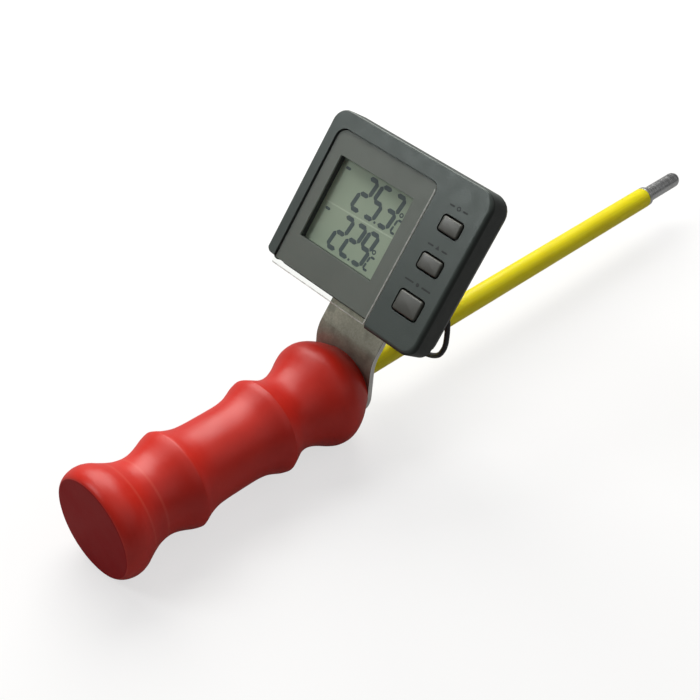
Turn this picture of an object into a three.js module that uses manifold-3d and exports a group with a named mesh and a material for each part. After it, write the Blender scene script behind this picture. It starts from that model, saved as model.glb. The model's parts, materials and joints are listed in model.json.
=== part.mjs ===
// Hand-held digital thermometer: turned handle, bent strip, display case, tube stem with a sensing tip.
// Millimetres. The origin is the centre of the handle's flat butt face. +X runs along the handle and the
// stem, +Z is the display's side, and the display's right-hand side is -Y.
import * as THREE from 'three';
import { mergeVertices } from 'three/addons/utils/BufferGeometryUtils.js';
import Module from 'manifold-3d';

const wasm = await Module();
wasm.setup();

// Clearances
const GAP = 0.3;                 // between two pieces that touch
const OVERCUT = 1;               // how far a cutting tool stands out of the piece it cuts
const MERGE_SHARE = 3000;        // points closer than this part of the clearance are one point

// Handle, a solid of revolution about X
const HANDLE_LENGTH = 99;
const HANDLE_R = 18;
const BUTT_FACE_R = 15.8;
const FRONT_FACE_R = 12.6;
const STEM_SEAT_DEPTH = 52;      // how far the stem's bore runs in from the handle's front face
// Stations along the handle and the radius at each, as shares of the handle's length and largest radius
const HANDLE_SHARES = [
  [0.003, 0.915], [0.012, 0.953], [0.026, 0.984], [0.044, 1], [0.062, 0.992], [0.08, 0.958],
  [0.1, 0.898], [0.125, 0.83], [0.15, 0.775], [0.178, 0.742], [0.204, 0.737], [0.23, 0.762],
  [0.255, 0.808], [0.278, 0.86], [0.292, 0.885], [0.302, 0.897], [0.311, 0.878], [0.33, 0.828],
  [0.352, 0.785], [0.38, 0.748], [0.415, 0.732], [0.46, 0.728], [0.51, 0.727], [0.55, 0.732],
  [0.585, 0.76], [0.612, 0.81], [0.636, 0.866], [0.647, 0.884], [0.656, 0.896], [0.665, 0.874],
  [0.684, 0.82], [0.706, 0.76], [0.728, 0.727], [0.75, 0.72], [0.772, 0.738], [0.797, 0.784],
  [0.822, 0.85], [0.846, 0.925], [0.868, 0.98], [0.885, 0.998], [0.9, 1], [0.915, 0.984],
  [0.935, 0.94], [0.957, 0.873], [0.978, 0.79], [0.992, 0.725],
];
const HANDLE_SIDES = 44;

// Stem
const STEM_R = 4;
const STEM_BORE_R = 2.6;
const STEM_OUT = 169;            // how far the tube stands out of the handle
const STEM_SIDES = 24;
const STEM_FIT = 0.3;

// Sensing tip
const TIP_R = 3;
const TIP_COLLAR_R = 3.9;
const TIP_COLLAR_LENGTH = 1.6;
const TIP_LENGTH = 23;
const TIP_SHANK_R = 2.25;
const TIP_SHANK_LENGTH = 12;
const TIP_BORE_R = 1.55;
const TIP_NOSE_WALL = 1.5;
const TIP_NOSE_STEPS = 6;
const BEAD_R = 1.2;
const BEAD_LENGTH = 6.5;

// Strip that joins handle and display
const STRIP_WIDTH = 25;
const STRIP_THICK = 2;
const STRIP_BEND_R = 10;
const STRIP_BEND_STEPS = 8;
const STRIP_LOW_END = 12.5;
const STRIP_REACH = 27.5;        // how far the upper leg runs up behind the case
const STRIP_SCREW_SHARES = [0.264, 0.773];  // where its two screws are, up from the case's lower edge
const STRIP_END_STEPS = 10;
const STRIP_CORNER_R = 4;

// Display case, in the display's own frame: x to the right, y up, z out of its face
const DISPLAY_TILT = 55;         // degrees between the stem and the display's up direction
const DISPLAY_AHEAD = 9.26;      // from the handle's front face to the middle of the display's face
const DISPLAY_HIGH = 56.28;      // from the stem's axis up to the middle of the display's face
const CASE_W = 66;
const CASE_H = 54.5;
const CASE_R_TL = 5;
const CASE_R_TR = 5.6;
const CASE_R_BR = 4.6;
const CASE_R_BL = 2.4;
const PARTING_Z = 8.5;
const EDGE_R = 1.2;
const EDGE_STEPS = 3;
const RIGHT_FILLET = 4.5;
const BOTTOM_FILLET = 3.5;
const FILLET_STEPS = 6;
const CORNER_STEPS = 6;
const WALL = 1.8;
const RIGHT_WALL = 2.4;
const REAR_STEP = 0.6;           // how far the rear shell stands back from the front shell's side
const REAR_TAPER = 2.8;          // how far its right-hand side leans in on the way to the back
const REAR_EDGE_R = 1.1;
const KEY_CEILING = 2.2;
const WINDOW_CEILING = 3.6;
const SPLIT_FROM_LENS = 2.6;     // from the window to where the wall over the cavity gets thinner
const CAVITY_R = 2;
const LOW_WALL = 3.9;            // below the cavity, under the window
const LOW_SETBACK = 2.65;        // how far the face ends above the case's lower edge, left of the keys
const LOW_SETBACK_PARTING = 0.85;

// Window, from the case's edges
const LENS_LEFT = 4.1;
const KEY_COLUMN_W = 20.2;
const LENS_BOTTOM = 0.65;
const LENS_TOP = 5.65;
const LENS_THICK = 1.2;
const LENS_R_TL = 3.2;
const LENS_R_TR = 2.7;
const LENS_R_LOW = 0.4;
// The opening for the LCD, from the window's edges
const LCD_LEFT = 4.6;
const LCD_RIGHT = 5.9;
const LCD_BOTTOM = 12.3;
const LCD_TOP = 7.6;
// How far the LCD glass runs on behind its opening
const LCD_MARGIN_X = 2.6;
const LCD_MARGIN_Y = 3.2;
const LCD_THICK = 1.8;
const CONTACT_INSET = 1.7;
const CONTACT_T = 1.8;
const CONTACT_H = 1.1;

// Keys
const KEY_FROM_RIGHT = 9.75;
const KEY_TOP_W = 7.2;
const KEY_TOP_H = 4.7;
const KEY_MIDDLE_W = 7.8;
const KEY_MIDDLE_H = 4.8;
const KEY_BOTTOM_W = 9;
const KEY_BOTTOM_H = 6.4;
const KEY_HEIGHT_SHARES = [0.2312, 0, -0.2514];  // up from the case's middle
const KEY_CLEAR = 0.55;
const KEY_PROUD = 0.6;
const KEY_CORNER_R = 0.8;
const KEY_EDGE = 0.45;
const KEY_EDGE_STEPS = 2;
const KEY_CORNER_STEPS = 4;
const KEY_FLANGE = 0.8;
const KEY_FLANGE_THICK = 0.8;
const KEY_TRAVEL = 0.6;
const PLUNGER_R = 1.5;
const PLUNGER_LENGTH = 2.3;
const SWITCH_SIDE = 6;
const SWITCH_FLOOR = 0.3;
const SMALL_SIDES = 16;

// Board and what is on it
const BOARD_CLEAR = 1.2;
const PCB_THICK = 1;
const RESIN_R = 5;
const RESIN_H = 1.3;
const RESIN_AT_X = 16;           // from the board's lower left corner
const RESIN_AT_Y = 12;
const RESIN_SHARES = [[1, 0.5], [0.7, 0.85], [0, 1]];  // depth and radius, of its height and radius
const AIR_BEAD_R = 1.1;
const AIR_BEAD_H = 2.4;
const AIR_BEAD_AT_X = 6;
const AIR_BEAD_AT_Y = 8;
const REST_R = 1.6;
const REST_IN = 2.85;            // from the board's edge
const REST_FROM_SPLIT = 2.8;
const REST_FROM_LEFT = 3.2;
const REST_HEIGHT_SHARE = 0.2;

// Case screws
const CASE_SCREW_FROM_LEFT = 4.1;
const CASE_SCREW_FROM_RIGHT = 7.8;
const CASE_SCREW_FROM_EDGE = 4.15;
const POST_R = 2.5;
const TUBE_R = 3;
const CASE_SCREW_R = 0.95;
const CASE_HEAD_R = 1.8;
const CASE_HEAD_H = 1.4;
const CASE_HEAD_DEPTH = 3.1;
const CASE_SCREW_LENGTH = 8.3;
const SCREW_SLOT_W = 0.5;
const SCREW_SLOT_DEPTH = 0.5;
const SCREW_RIM_SHARE = 1 / 3;   // of the head's height
const SCREW_CROWN_SHARE = 0.7;   // of the head's radius

// Strip screws
const STRIP_SCREW_R = 1.25;
const STRIP_HEAD_R = 2.6;
const STRIP_HEAD_H = 1.6;
const STRIP_HOLE_R = 1.6;
const STRIP_SCREW_LENGTH = 8;
const STRIP_BOSS_R = 3.2;
const STRIP_BOSS_H = 6.8;
const WOOD_SCREW_Y = 8.3;
const WOOD_SCREW_R = 1.4;
const WOOD_HEAD_R = 2.7;
const WOOD_HEAD_H = 1.7;
const WOOD_SCREW_LENGTH = 16;
const WOOD_SCREW_POINT = 3;

// Battery
const CELL_R = 5.8;
const CELL_H = 5.4;
const CELL_CAP_SHARE = 0.85;     // of the cell's radius
const CELL_STEP_SHARES = [0.75, 0.8];  // of the cell's height
const CELL_FROM_TOP = 13.25;
const SPRING_THICK = 0.2;
const SPRING_W = 6;
const SPRING_L = 10;
const COVER_R = 8.3;
const COVER_THICK = 1.1;
const COLLAR_R = 6.9;
const COLLAR_BORE_R = 6.1;
const COLLAR_H = 3.6;
const LUG_REACH = 1.3;
const LUG_WIDTH = 3;
const LUG_THICK = 0.9;
const LEDGE_H = 2.4;
const LEDGE_R = 10.4;
const NOTCH_WIDTH = 3.8;
const NOTCH_TURN = -70;          // degrees from the locked lugs to the notches
const COIN_SLOT_W = 1.6;
const COIN_SLOT_L = 11;
const COIN_SLOT_DEPTH = 0.6;
const COVER_SIDES = 34;

// Sensor lead
const LEAD_R = 0.9;
const LEAD_SIDES = 8;
const SLEEVE_R = 1.6;
const SLEEVE_BORE_R = 1.2;
const STEM_HOLE_AHEAD = 25;      // from the handle's front face
const STEM_HOLE_LEAN = 60;       // degrees between the stem and the lead where it leaves the stem
const STEM_HOLE_TURN = 35.26;    // degrees round the stem from the top towards the display's right
const STEM_SLEEVE_LENGTH = 2.8;
const STEM_SLEEVE_OUT = 2.3;
const LEAD_TURN_R = 4;
const LEAD_TURN_STEPS = 8;
const LEAD_STRAIGHT_STEPS = 30;
const CASE_EXIT_FROM_RIGHT = 6.9;
const CASE_EXIT_FROM_BOTTOM = 14.05;
const CASE_SLEEVE_FLANGE_R = 2.3;
const CASE_SLEEVE_FLANGE = 0.8;
const CASE_SLEEVE_OUT = 1.2;
// The free lead's route in the display's frame, between the two sleeves
const LOOP_ROUTE = [
  [26.14, -13.35, -18.6], [26.4, -14.5, -20.3], [26.95, -16.9, -21.9], [27.45, -19.8, -23.5],
  [27.4, -22.5, -25.3], [26.5, -24.8, -27.2], [25.1, -26.7, -29], [23, -28.1, -30.7],
  [20.4, -29.2, -32.3], [17.6, -30, -33.7], [14.7, -30.6, -35], [11.8, -31.2, -36.2],
];
const LOOP_STEPS = 26;

// The case is as deep as what it holds, a gap after each: LCD glass, contacts, board, spring, cell, cover
const pcbTop = WINDOW_CEILING + LCD_THICK + CONTACT_H + 3 * GAP;
const caseDepth = pcbTop + PCB_THICK + SPRING_THICK + CELL_H + COVER_THICK + 3 * GAP;

// Materials
function paint(color, roughness, metalness) {
  return new THREE.MeshStandardMaterial({ color, roughness, metalness });
}
const RED = () => paint(0xbe2d23, 0.42, 0);
const YELLOW = () => paint(0xe0d626, 0.38, 0);
const STEEL = () => paint(0x8a8a78, 0.45, 1);
const BRIGHT = () => paint(0xc4c6c8, 0.28, 1);
const SHELL = () => paint(0x535a58, 0.55, 0);
const REAR = () => paint(0x2b2e2e, 0.6, 0);
const CLEAR = () => paint(0xc9cfcb, 0.05, 0);
const LCD = () => paint(0x87937f, 0.3, 0);
const KEY = () => paint(0x78746e, 0.45, 0.1);
const BLACK = () => paint(0x17181a, 0.6, 0);
const BOARD = () => paint(0x2f5a3a, 0.5, 0);
const RUBBER = () => paint(0x202224, 0.8, 0);
const BRASS = () => paint(0xb59a52, 0.3, 1);

// Solids
function toSolid(geometry) {
  const g = geometry.clone();
  g.deleteAttribute('normal');
  g.deleteAttribute('uv');
  const m = mergeVertices(g, GAP / MERGE_SHARE);
  const points = new Float32Array(m.attributes.position.array);
  const corners = m.index.array;
  const at = (i) => new THREE.Vector3().fromArray(points, i * 3);
  const faces = [];
  let volume = 0;
  for (let i = 0; i < corners.length; i += 3) {
    const [a, b, c] = [corners[i], corners[i + 1], corners[i + 2]];
    if (a === b || b === c || c === a) continue;
    faces.push([a, b, c]);
    volume += at(a).dot(at(b).cross(at(c)));
  }
  const turnedRound = volume < 0;
  const triVerts = new Uint32Array(faces.flatMap(([a, b, c]) => (turnedRound ? [a, c, b] : [a, b, c])));
  return new wasm.Manifold(new wasm.Mesh({ numProp: 3, vertProperties: points, triVerts }));
}

function toGeometry(solid) {
  const mesh = solid.getMesh();
  const g = new THREE.BufferGeometry();
  const points = new Float32Array(mesh.numVert * 3);
  for (let i = 0; i < mesh.numVert; i += 1) {
    for (let k = 0; k < 3; k += 1) points[i * 3 + k] = mesh.vertProperties[i * mesh.numProp + k];
  }
  g.setAttribute('position', new THREE.BufferAttribute(points, 3));
  g.setIndex(new THREE.BufferAttribute(new Uint32Array(mesh.triVerts), 1));
  g.computeVertexNormals();
  return g;
}

function box(x0, x1, y0, y1, z0, z1) {
  const g = new THREE.BoxGeometry(x1 - x0, y1 - y0, z1 - z0);
  g.translate((x0 + x1) / 2, (y0 + y1) / 2, (z0 + z1) / 2);
  return toSolid(g);
}

// A round bar along z from z0 to z1
function bar(x, y, r, z0, z1, sides = SMALL_SIDES) {
  const g = new THREE.CylinderGeometry(r, r, z1 - z0, sides);
  g.rotateX(Math.PI / 2);
  g.translate(x, y, (z0 + z1) / 2);
  return toSolid(g);
}

// A turned solid: the profile is [distance along the axis, radius], and the axis is +X
function turned(profile, sides) {
  const points = profile.map(([along, r]) => new THREE.Vector2(r, along));
  const g = new THREE.LatheGeometry(points, sides);
  g.rotateZ(-Math.PI / 2);
  return toSolid(g);
}

// The same, with the axis along +Z
function turnedUp(profile, sides) {
  const points = profile.map(([along, r]) => new THREE.Vector2(r, along));
  const g = new THREE.LatheGeometry(points, sides);
  g.rotateX(Math.PI / 2);
  return toSolid(g);
}

// An outline with its own radius at each corner: lower left, lower right, upper right, upper left
function rounded(x0, x1, y0, y1, radii, steps = CORNER_STEPS) {
  const corners = [
    [x0, y0, 1, 1, Math.PI],
    [x1, y0, -1, 1, Math.PI * 1.5],
    [x1, y1, -1, -1, 0],
    [x0, y1, 1, -1, Math.PI / 2],
  ];
  const points = [];
  corners.forEach(([x, y, sx, sy, from], i) => {
    const r = radii[i];
    if (r === 0) {
      points.push(new THREE.Vector2(x, y));
      return;
    }
    for (let k = 0; k <= steps; k += 1) {
      const a = from + (Math.PI / 2) * (k / steps);
      points.push(new THREE.Vector2(x + sx * r + r * Math.cos(a), y + sy * r + r * Math.sin(a)));
    }
  });
  return points;
}

// An outline in x and y drawn up from z0 to z1
function slab(points, z0, z1) {
  const shape = new THREE.Shape(points);
  const g = new THREE.ExtrudeGeometry(shape, { depth: z1 - z0, bevelEnabled: false });
  g.translate(0, 0, z0);
  return toSolid(g);
}

// The same with its edge at z1 rounded by r
function crownedSlab(points, z0, z1, r, steps) {
  const shape = new THREE.Shape(points);
  const g = new THREE.ExtrudeGeometry(shape, {
    depth: z1 - z0,
    bevelEnabled: true,
    bevelThickness: r,
    bevelSize: r,
    bevelOffset: -r,
    bevelSegments: steps,
  });
  g.translate(0, 0, z0 - r);
  const cut = box(-CASE_W, CASE_W, -CASE_W, CASE_W, z0, z1);
  return toSolid(g).intersect(cut);
}

// A solid whose points are moved along x and y in proportion to their z
function sheared(solid, xPerZ, yPerZ) {
  const g = toGeometry(solid);
  g.applyMatrix4(new THREE.Matrix4().makeShear(0, 0, 0, 0, xPerZ, yPerZ));
  return toSolid(g);
}

// An outline in y and z drawn along x, and one in x and z drawn along y
function slabAlongX(points, x0, x1) {
  const shape = new THREE.Shape(points);
  const g = new THREE.ExtrudeGeometry(shape, { depth: x1 - x0, bevelEnabled: false });
  g.rotateY(Math.PI / 2);
  g.rotateX(Math.PI / 2);
  g.translate(x0, 0, 0);
  return toSolid(g);
}

function slabAlongY(points, y0, y1) {
  const shape = new THREE.Shape(points);
  const g = new THREE.ExtrudeGeometry(shape, { depth: y1 - y0, bevelEnabled: false });
  g.rotateX(Math.PI / 2);
  g.translate(0, y1, 0);
  return toSolid(g);
}

// A piece drawn along +Z and laid along a direction from a point
function laid(solid, from, direction) {
  const along = direction.clone().normalize();
  const turn = new THREE.Quaternion().setFromUnitVectors(new THREE.Vector3(0, 0, 1), along);
  const g = toGeometry(solid);
  g.applyQuaternion(turn);
  g.translate(from.x, from.y, from.z);
  return toSolid(g);
}

// A cord along a curve, with its steps where the curve's own parameter puts them
function cord(curve, r, sides, steps) {
  const ring = new THREE.Shape();
  for (let i = 0; i < sides; i += 1) {
    const a = (i / sides) * Math.PI * 2;
    if (i === 0) ring.moveTo(r * Math.cos(a), r * Math.sin(a));
    else ring.lineTo(r * Math.cos(a), r * Math.sin(a));
  }
  return toSolid(new THREE.ExtrudeGeometry(ring, { steps, bevelEnabled: false, extrudePath: curve }));
}

class PointPath extends THREE.Curve {
  constructor(points) {
    super();
    this.points = points;
  }

  getUtoTmapping(u) {
    return u;
  }

  getPoint(t, target = new THREE.Vector3()) {
    const n = this.points.length - 1;
    const i = Math.min(Math.floor(t * n + 1e-9), n - 1);
    return target.lerpVectors(this.points[i], this.points[i + 1], t * n - i);
  }

  getTangent(t, target = new THREE.Vector3()) {
    const n = this.points.length - 1;
    const i = Math.round(t * n);
    const a = this.points[Math.max(i - 1, 0)];
    const b = this.points[Math.min(i + 1, n)];
    return target.copy(b).sub(a).normalize();
  }
}

const model = new THREE.Group();
const display = new THREE.Group();
model.add(display);

const tilt = THREE.MathUtils.degToRad(DISPLAY_TILT);
const right = new THREE.Vector3(0, -1, 0);
const up = new THREE.Vector3(Math.cos(tilt), 0, Math.sin(tilt));
const normal = new THREE.Vector3(-Math.sin(tilt), 0, Math.cos(tilt));
const centre = new THREE.Vector3(HANDLE_LENGTH + DISPLAY_AHEAD, 0, DISPLAY_HIGH);
const displayUp = centre.dot(up);
const displayBack = -centre.dot(normal);
display.quaternion.setFromRotationMatrix(new THREE.Matrix4().makeBasis(right, up, normal));
display.position.copy(centre);

function toWorld([x, y, z]) {
  return centre.clone().addScaledVector(right, x).addScaledVector(up, y).addScaledVector(normal, z);
}

function add(parent, name, solid, material) {
  const mesh = new THREE.Mesh(toGeometry(solid), material);
  mesh.name = name;
  parent.add(mesh);
}

// Handle
const boreR = STEM_R + STEM_FIT;
const boreFloor = HANDLE_LENGTH - STEM_SEAT_DEPTH;
const handleProfile = [[0, 0], [0, BUTT_FACE_R]];
HANDLE_SHARES.forEach(([along, r]) => handleProfile.push([along * HANDLE_LENGTH, r * HANDLE_R]));
handleProfile.push([HANDLE_LENGTH, FRONT_FACE_R]);
handleProfile.push([HANDLE_LENGTH, 0]);
let handle = turned(handleProfile, HANDLE_SIDES);
handle = handle.subtract(turned([
  [boreFloor, 0], [boreFloor, boreR],
  [HANDLE_LENGTH + OVERCUT, boreR], [HANDLE_LENGTH + OVERCUT, 0],
], STEM_SIDES));
const alongX = new THREE.Vector3(1, 0, 0);
const pilotR = WOOD_SCREW_R + GAP;
for (const side of [-1, 1]) {
  const from = new THREE.Vector3(HANDLE_LENGTH - WOOD_SCREW_LENGTH - GAP, side * WOOD_SCREW_Y, 0);
  handle = handle.subtract(laid(bar(0, 0, pilotR, 0, WOOD_SCREW_LENGTH + GAP + OVERCUT), from, alongX));
}
add(model, 'handle', handle, RED());

// Stem, with a slanting hole for the lead
const turnAngle = THREE.MathUtils.degToRad(STEM_HOLE_TURN);
const leanAngle = THREE.MathUtils.degToRad(STEM_HOLE_LEAN);
const outward = new THREE.Vector3(0, -Math.sin(turnAngle), Math.cos(turnAngle));
const leadOut = new THREE.Vector3(-Math.cos(leanAngle), 0, 0).addScaledVector(outward, Math.sin(leanAngle));
const stemHole = new THREE.Vector3(HANDLE_LENGTH + STEM_HOLE_AHEAD, 0, 0)
  .addScaledVector(outward, STEM_R);
const stemStart = boreFloor + GAP;
const stemEnd = HANDLE_LENGTH + STEM_OUT;
let stem = turned([
  [stemStart, STEM_BORE_R], [stemStart, STEM_R],
  [stemEnd, STEM_R], [stemEnd, STEM_BORE_R], [stemStart, STEM_BORE_R],
], STEM_SIDES);
const holeStart = stemHole.clone().addScaledVector(leadOut, STEM_BORE_R - STEM_R - SLEEVE_R - GAP);
stem = stem.subtract(laid(bar(0, 0, SLEEVE_R + GAP, 0, STEM_R + OVERCUT), holeStart, leadOut));
add(model, 'stem_tube', stem, YELLOW());

const sleeveStart = stemHole.clone().addScaledVector(leadOut, STEM_SLEEVE_OUT - STEM_SLEEVE_LENGTH);
const stemSleeve = bar(0, 0, SLEEVE_R, 0, STEM_SLEEVE_LENGTH)
  .subtract(bar(0, 0, SLEEVE_BORE_R, -OVERCUT, STEM_SLEEVE_LENGTH + OVERCUT));
add(model, 'stem_sleeve', laid(stemSleeve, sleeveStart, leadOut), RUBBER());

// Sensing tip
const tipStart = stemEnd + GAP;
const tipEnd = tipStart + TIP_LENGTH;
const tipProfile = [
  [stemEnd - TIP_SHANK_LENGTH, TIP_BORE_R], [stemEnd - TIP_SHANK_LENGTH, TIP_SHANK_R],
  [tipStart, TIP_SHANK_R], [tipStart, TIP_COLLAR_R],
  [tipStart + TIP_COLLAR_LENGTH, TIP_COLLAR_R], [tipStart + TIP_COLLAR_LENGTH, TIP_R],
];
for (let k = 0; k <= TIP_NOSE_STEPS; k += 1) {
  const a = (Math.PI / 2) * (k / TIP_NOSE_STEPS);
  const r = k === TIP_NOSE_STEPS ? 0 : TIP_R * Math.cos(a);
  tipProfile.push([tipEnd - TIP_R + TIP_R * Math.sin(a), r]);
}
tipProfile.push([tipEnd - TIP_NOSE_WALL, 0]);
tipProfile.push([tipEnd - TIP_NOSE_WALL - TIP_BORE_R, TIP_BORE_R]);
tipProfile.push([stemEnd - TIP_SHANK_LENGTH, TIP_BORE_R]);
add(model, 'sensing_tip', turned(tipProfile, STEM_SIDES), BRIGHT());

const beadEnd = tipEnd - TIP_NOSE_WALL - TIP_BORE_R - GAP;
const beadStart = beadEnd - BEAD_LENGTH;
add(model, 'sensor_bead', turned([
  [beadStart, 0], [beadStart, BEAD_R], [beadEnd, BEAD_R], [beadEnd, 0],
], SMALL_SIDES), BLACK());

// Lead inside the stem, from the bead along the axis and out through the sleeve
const leadPoints = [];
const turnDrop = LEAD_TURN_R * (1 - Math.cos(leanAngle));
const slant = (STEM_R - turnDrop) / Math.sin(leanAngle);
const turnEnd = stemHole.clone().addScaledVector(leadOut, -slant);
const turnStartX = turnEnd.x + LEAD_TURN_R * Math.sin(leanAngle);
for (let k = 0; k < LEAD_STRAIGHT_STEPS; k += 1) {
  const x = beadStart - GAP + (turnStartX - beadStart + GAP) * (k / LEAD_STRAIGHT_STEPS);
  leadPoints.push(new THREE.Vector3(x, 0, 0));
}
for (let k = 0; k <= LEAD_TURN_STEPS; k += 1) {
  const a = leanAngle * (k / LEAD_TURN_STEPS);
  leadPoints.push(new THREE.Vector3(turnStartX - LEAD_TURN_R * Math.sin(a), 0, 0)
    .addScaledVector(outward, LEAD_TURN_R * (1 - Math.cos(a))));
}
const sleeveEnd = stemHole.clone().addScaledVector(leadOut, STEM_SLEEVE_OUT);
leadPoints.push(sleeveEnd.clone());
const leadLine = new PointPath(leadPoints);
add(model, 'sensor_lead', cord(leadLine, LEAD_R, LEAD_SIDES, leadPoints.length - 1), BLACK());

// Strip: a flat leg on the handle's front, a bend, and a flat leg behind the case
const bend = Math.PI / 2 - tilt;
const backFace = caseDepth + GAP;
const legNear = HANDLE_LENGTH;
// the near face of the upper leg is the plane normal . p = -planeBack
const planeBack = displayBack + backFace;
const apexZ = (legNear * Math.sin(tilt) - planeBack) / Math.cos(tilt);
const outerR = STRIP_BEND_R + STRIP_THICK;
const tangent = outerR * Math.tan(bend / 2);
const bendCentre = new THREE.Vector2(legNear + outerR, apexZ - tangent);
const stripTop = displayUp - CASE_H / 2 + STRIP_REACH;
const topNear = up.clone().multiplyScalar(stripTop).addScaledVector(normal, -planeBack);
const topFar = topNear.clone().addScaledVector(normal, -STRIP_THICK);
const side = [[legNear, -STRIP_LOW_END]];
for (let k = 0; k <= STRIP_BEND_STEPS; k += 1) {
  const a = bend * (k / STRIP_BEND_STEPS);
  side.push([bendCentre.x - outerR * Math.cos(a), bendCentre.y + outerR * Math.sin(a)]);
}
side.push([topNear.x, topNear.z]);
side.push([topFar.x, topFar.z]);
for (let k = STRIP_BEND_STEPS; k >= 0; k -= 1) {
  const a = bend * (k / STRIP_BEND_STEPS);
  side.push([bendCentre.x - STRIP_BEND_R * Math.cos(a), bendCentre.y + STRIP_BEND_R * Math.sin(a)]);
}
side.push([legNear + STRIP_THICK, -STRIP_LOW_END]);
const stripSide = side.map(([x, z]) => new THREE.Vector2(x, z));
let strip = slabAlongY(stripSide, -STRIP_WIDTH / 2, STRIP_WIDTH / 2);
// its lower end is round, and its upper corners are eased
const foot = [];
for (let k = 0; k <= STRIP_END_STEPS; k += 1) {
  const a = Math.PI + Math.PI * (k / STRIP_END_STEPS);
  foot.push(new THREE.Vector2((STRIP_WIDTH / 2) * Math.cos(a), STRIP_LOW_END * Math.sin(a)));
}
foot.push(new THREE.Vector2(STRIP_WIDTH / 2, CASE_W + CASE_H));
foot.push(new THREE.Vector2(-STRIP_WIDTH / 2, CASE_W + CASE_H));
strip = strip.intersect(slabAlongX(foot, legNear - OVERCUT, legNear + CASE_W + CASE_H));
const stripDisplay = rounded(
  -STRIP_WIDTH / 2 - OVERCUT, STRIP_WIDTH / 2 + OVERCUT, -CASE_W - CASE_H, STRIP_REACH - CASE_H / 2,
  [0, 0, STRIP_CORNER_R, STRIP_CORNER_R],
);
const unscaled = new THREE.Vector3(1, 1, 1);
const toDisplay = new THREE.Matrix4().compose(display.position, display.quaternion, unscaled);
function fromDisplay(solid) {
  const g = toGeometry(solid);
  g.applyMatrix4(toDisplay);
  return toSolid(g);
}
const topWindow = fromDisplay(slab(stripDisplay, -CASE_W - CASE_H, CASE_W));
strip = strip.intersect(topWindow);
strip = strip.subtract(laid(bar(0, 0, boreR, 0, STRIP_THICK + 2 * OVERCUT, STEM_SIDES),
  new THREE.Vector3(legNear - OVERCUT, 0, 0), alongX));
for (const s of [-1, 1]) {
  strip = strip.subtract(laid(bar(0, 0, pilotR, 0, STRIP_THICK + 2 * OVERCUT),
    new THREE.Vector3(legNear - OVERCUT, s * WOOD_SCREW_Y, 0), alongX));
}
const stripScrewYs = STRIP_SCREW_SHARES.map((share) => share * STRIP_REACH - CASE_H / 2);
for (const y of stripScrewYs) {
  const hole = bar(0, y, STRIP_HOLE_R, -backFace - STRIP_THICK - OVERCUT, -backFace + OVERCUT);
  strip = strip.subtract(fromDisplay(hole));
}
add(model, 'bracket', strip, STEEL());

// A screw along +Z with its head's top at 0: head, shank, and a slot across the head
function screw(headR, headH, shankR, length, point) {
  const profile = [
    [-headH - length, 0], [-headH - length + point, shankR],
    [-headH, shankR], [-headH, headR], [-headH * SCREW_RIM_SHARE, headR],
    [0, headR * SCREW_CROWN_SHARE], [0, 0],
  ];
  if (point === 0) profile.splice(1, 1, [-headH - length, shankR]);
  const body = turnedUp(profile, SMALL_SIDES);
  const reach = headR + OVERCUT;
  const slot = box(-reach, reach, -SCREW_SLOT_W / 2, SCREW_SLOT_W / 2, -SCREW_SLOT_DEPTH, OVERCUT);
  return body.subtract(slot);
}

[['handle_screw_left', 1], ['handle_screw_right', -1]].forEach(([name, s]) => {
  const top = new THREE.Vector3(legNear + STRIP_THICK + GAP + WOOD_HEAD_H, s * WOOD_SCREW_Y, 0);
  const length = WOOD_SCREW_LENGTH + STRIP_THICK;
  const body = screw(WOOD_HEAD_R, WOOD_HEAD_H, WOOD_SCREW_R, length, WOOD_SCREW_POINT);
  add(model, name, laid(body, top, alongX), BRIGHT());
});

// Front shell
const halfW = CASE_W / 2;
const halfH = CASE_H / 2;
const caseRadii = [CASE_R_BL, CASE_R_BR, CASE_R_TR, CASE_R_TL];
const caseOutline = rounded(-halfW, halfW, -halfH, halfH, caseRadii);
let front = crownedSlab(caseOutline, -PARTING_Z, 0, EDGE_R, EDGE_STEPS);
const rightSide = rounded(-halfW - OVERCUT, halfW, -caseDepth, 0, [0, 0, RIGHT_FILLET, 0], FILLET_STEPS);
front = front.intersect(slabAlongY(rightSide, -CASE_H, CASE_H));
const lowSide = rounded(-halfH, halfH + OVERCUT, -caseDepth, 0, [0, 0, 0, BOTTOM_FILLET], FILLET_STEPS);
front = front.intersect(slabAlongX(lowSide, -CASE_W, CASE_W));
// Left of the keys its lower side leans in towards the face, and the window stands out as a clear lip
const lensX0 = -halfW + LENS_LEFT;
const lensX1 = halfW - KEY_COLUMN_W;
const lensY0 = -halfH + LENS_BOTTOM;
const lensY1 = halfH - LENS_TOP;
const seatZ = -LENS_THICK - GAP;
const lean = (LOW_SETBACK - LOW_SETBACK_PARTING) / (PARTING_Z + seatZ);
const leaning = rounded(-halfW, CASE_W, -halfH + LOW_SETBACK - lean * seatZ, CASE_H, [CASE_R_BL, 0, 0, 0]);
const leaned = sheared(slab(leaning, -PARTING_Z - OVERCUT, OVERCUT), 0, lean);
const keyBlock = box(lensX1 + GAP, CASE_W, -CASE_H, CASE_H, -PARTING_Z - OVERCUT, OVERCUT);
front = front.intersect(leaned.add(keyBlock));
const cavityRadii = [CAVITY_R, CAVITY_R, CAVITY_R, CAVITY_R];
const splitX = lensX1 + SPLIT_FROM_LENS;
const cavityX0 = -halfW + WALL;
const cavityX1 = halfW - RIGHT_WALL;
const cavityY0 = -halfH + LOW_WALL;
const cavityY1 = halfH - WALL;
const keyCavityY0 = -halfH + RIGHT_WALL;
const keyCavity = rounded(splitX - OVERCUT, cavityX1, keyCavityY0, cavityY1, [0, CAVITY_R, CAVITY_R, 0]);
const windowCavity = rounded(cavityX0, splitX, cavityY0, cavityY1, [CAVITY_R, 0, 0, CAVITY_R]);
let frontCavity = slab(keyCavity, -PARTING_Z - OVERCUT, -KEY_CEILING);
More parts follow.
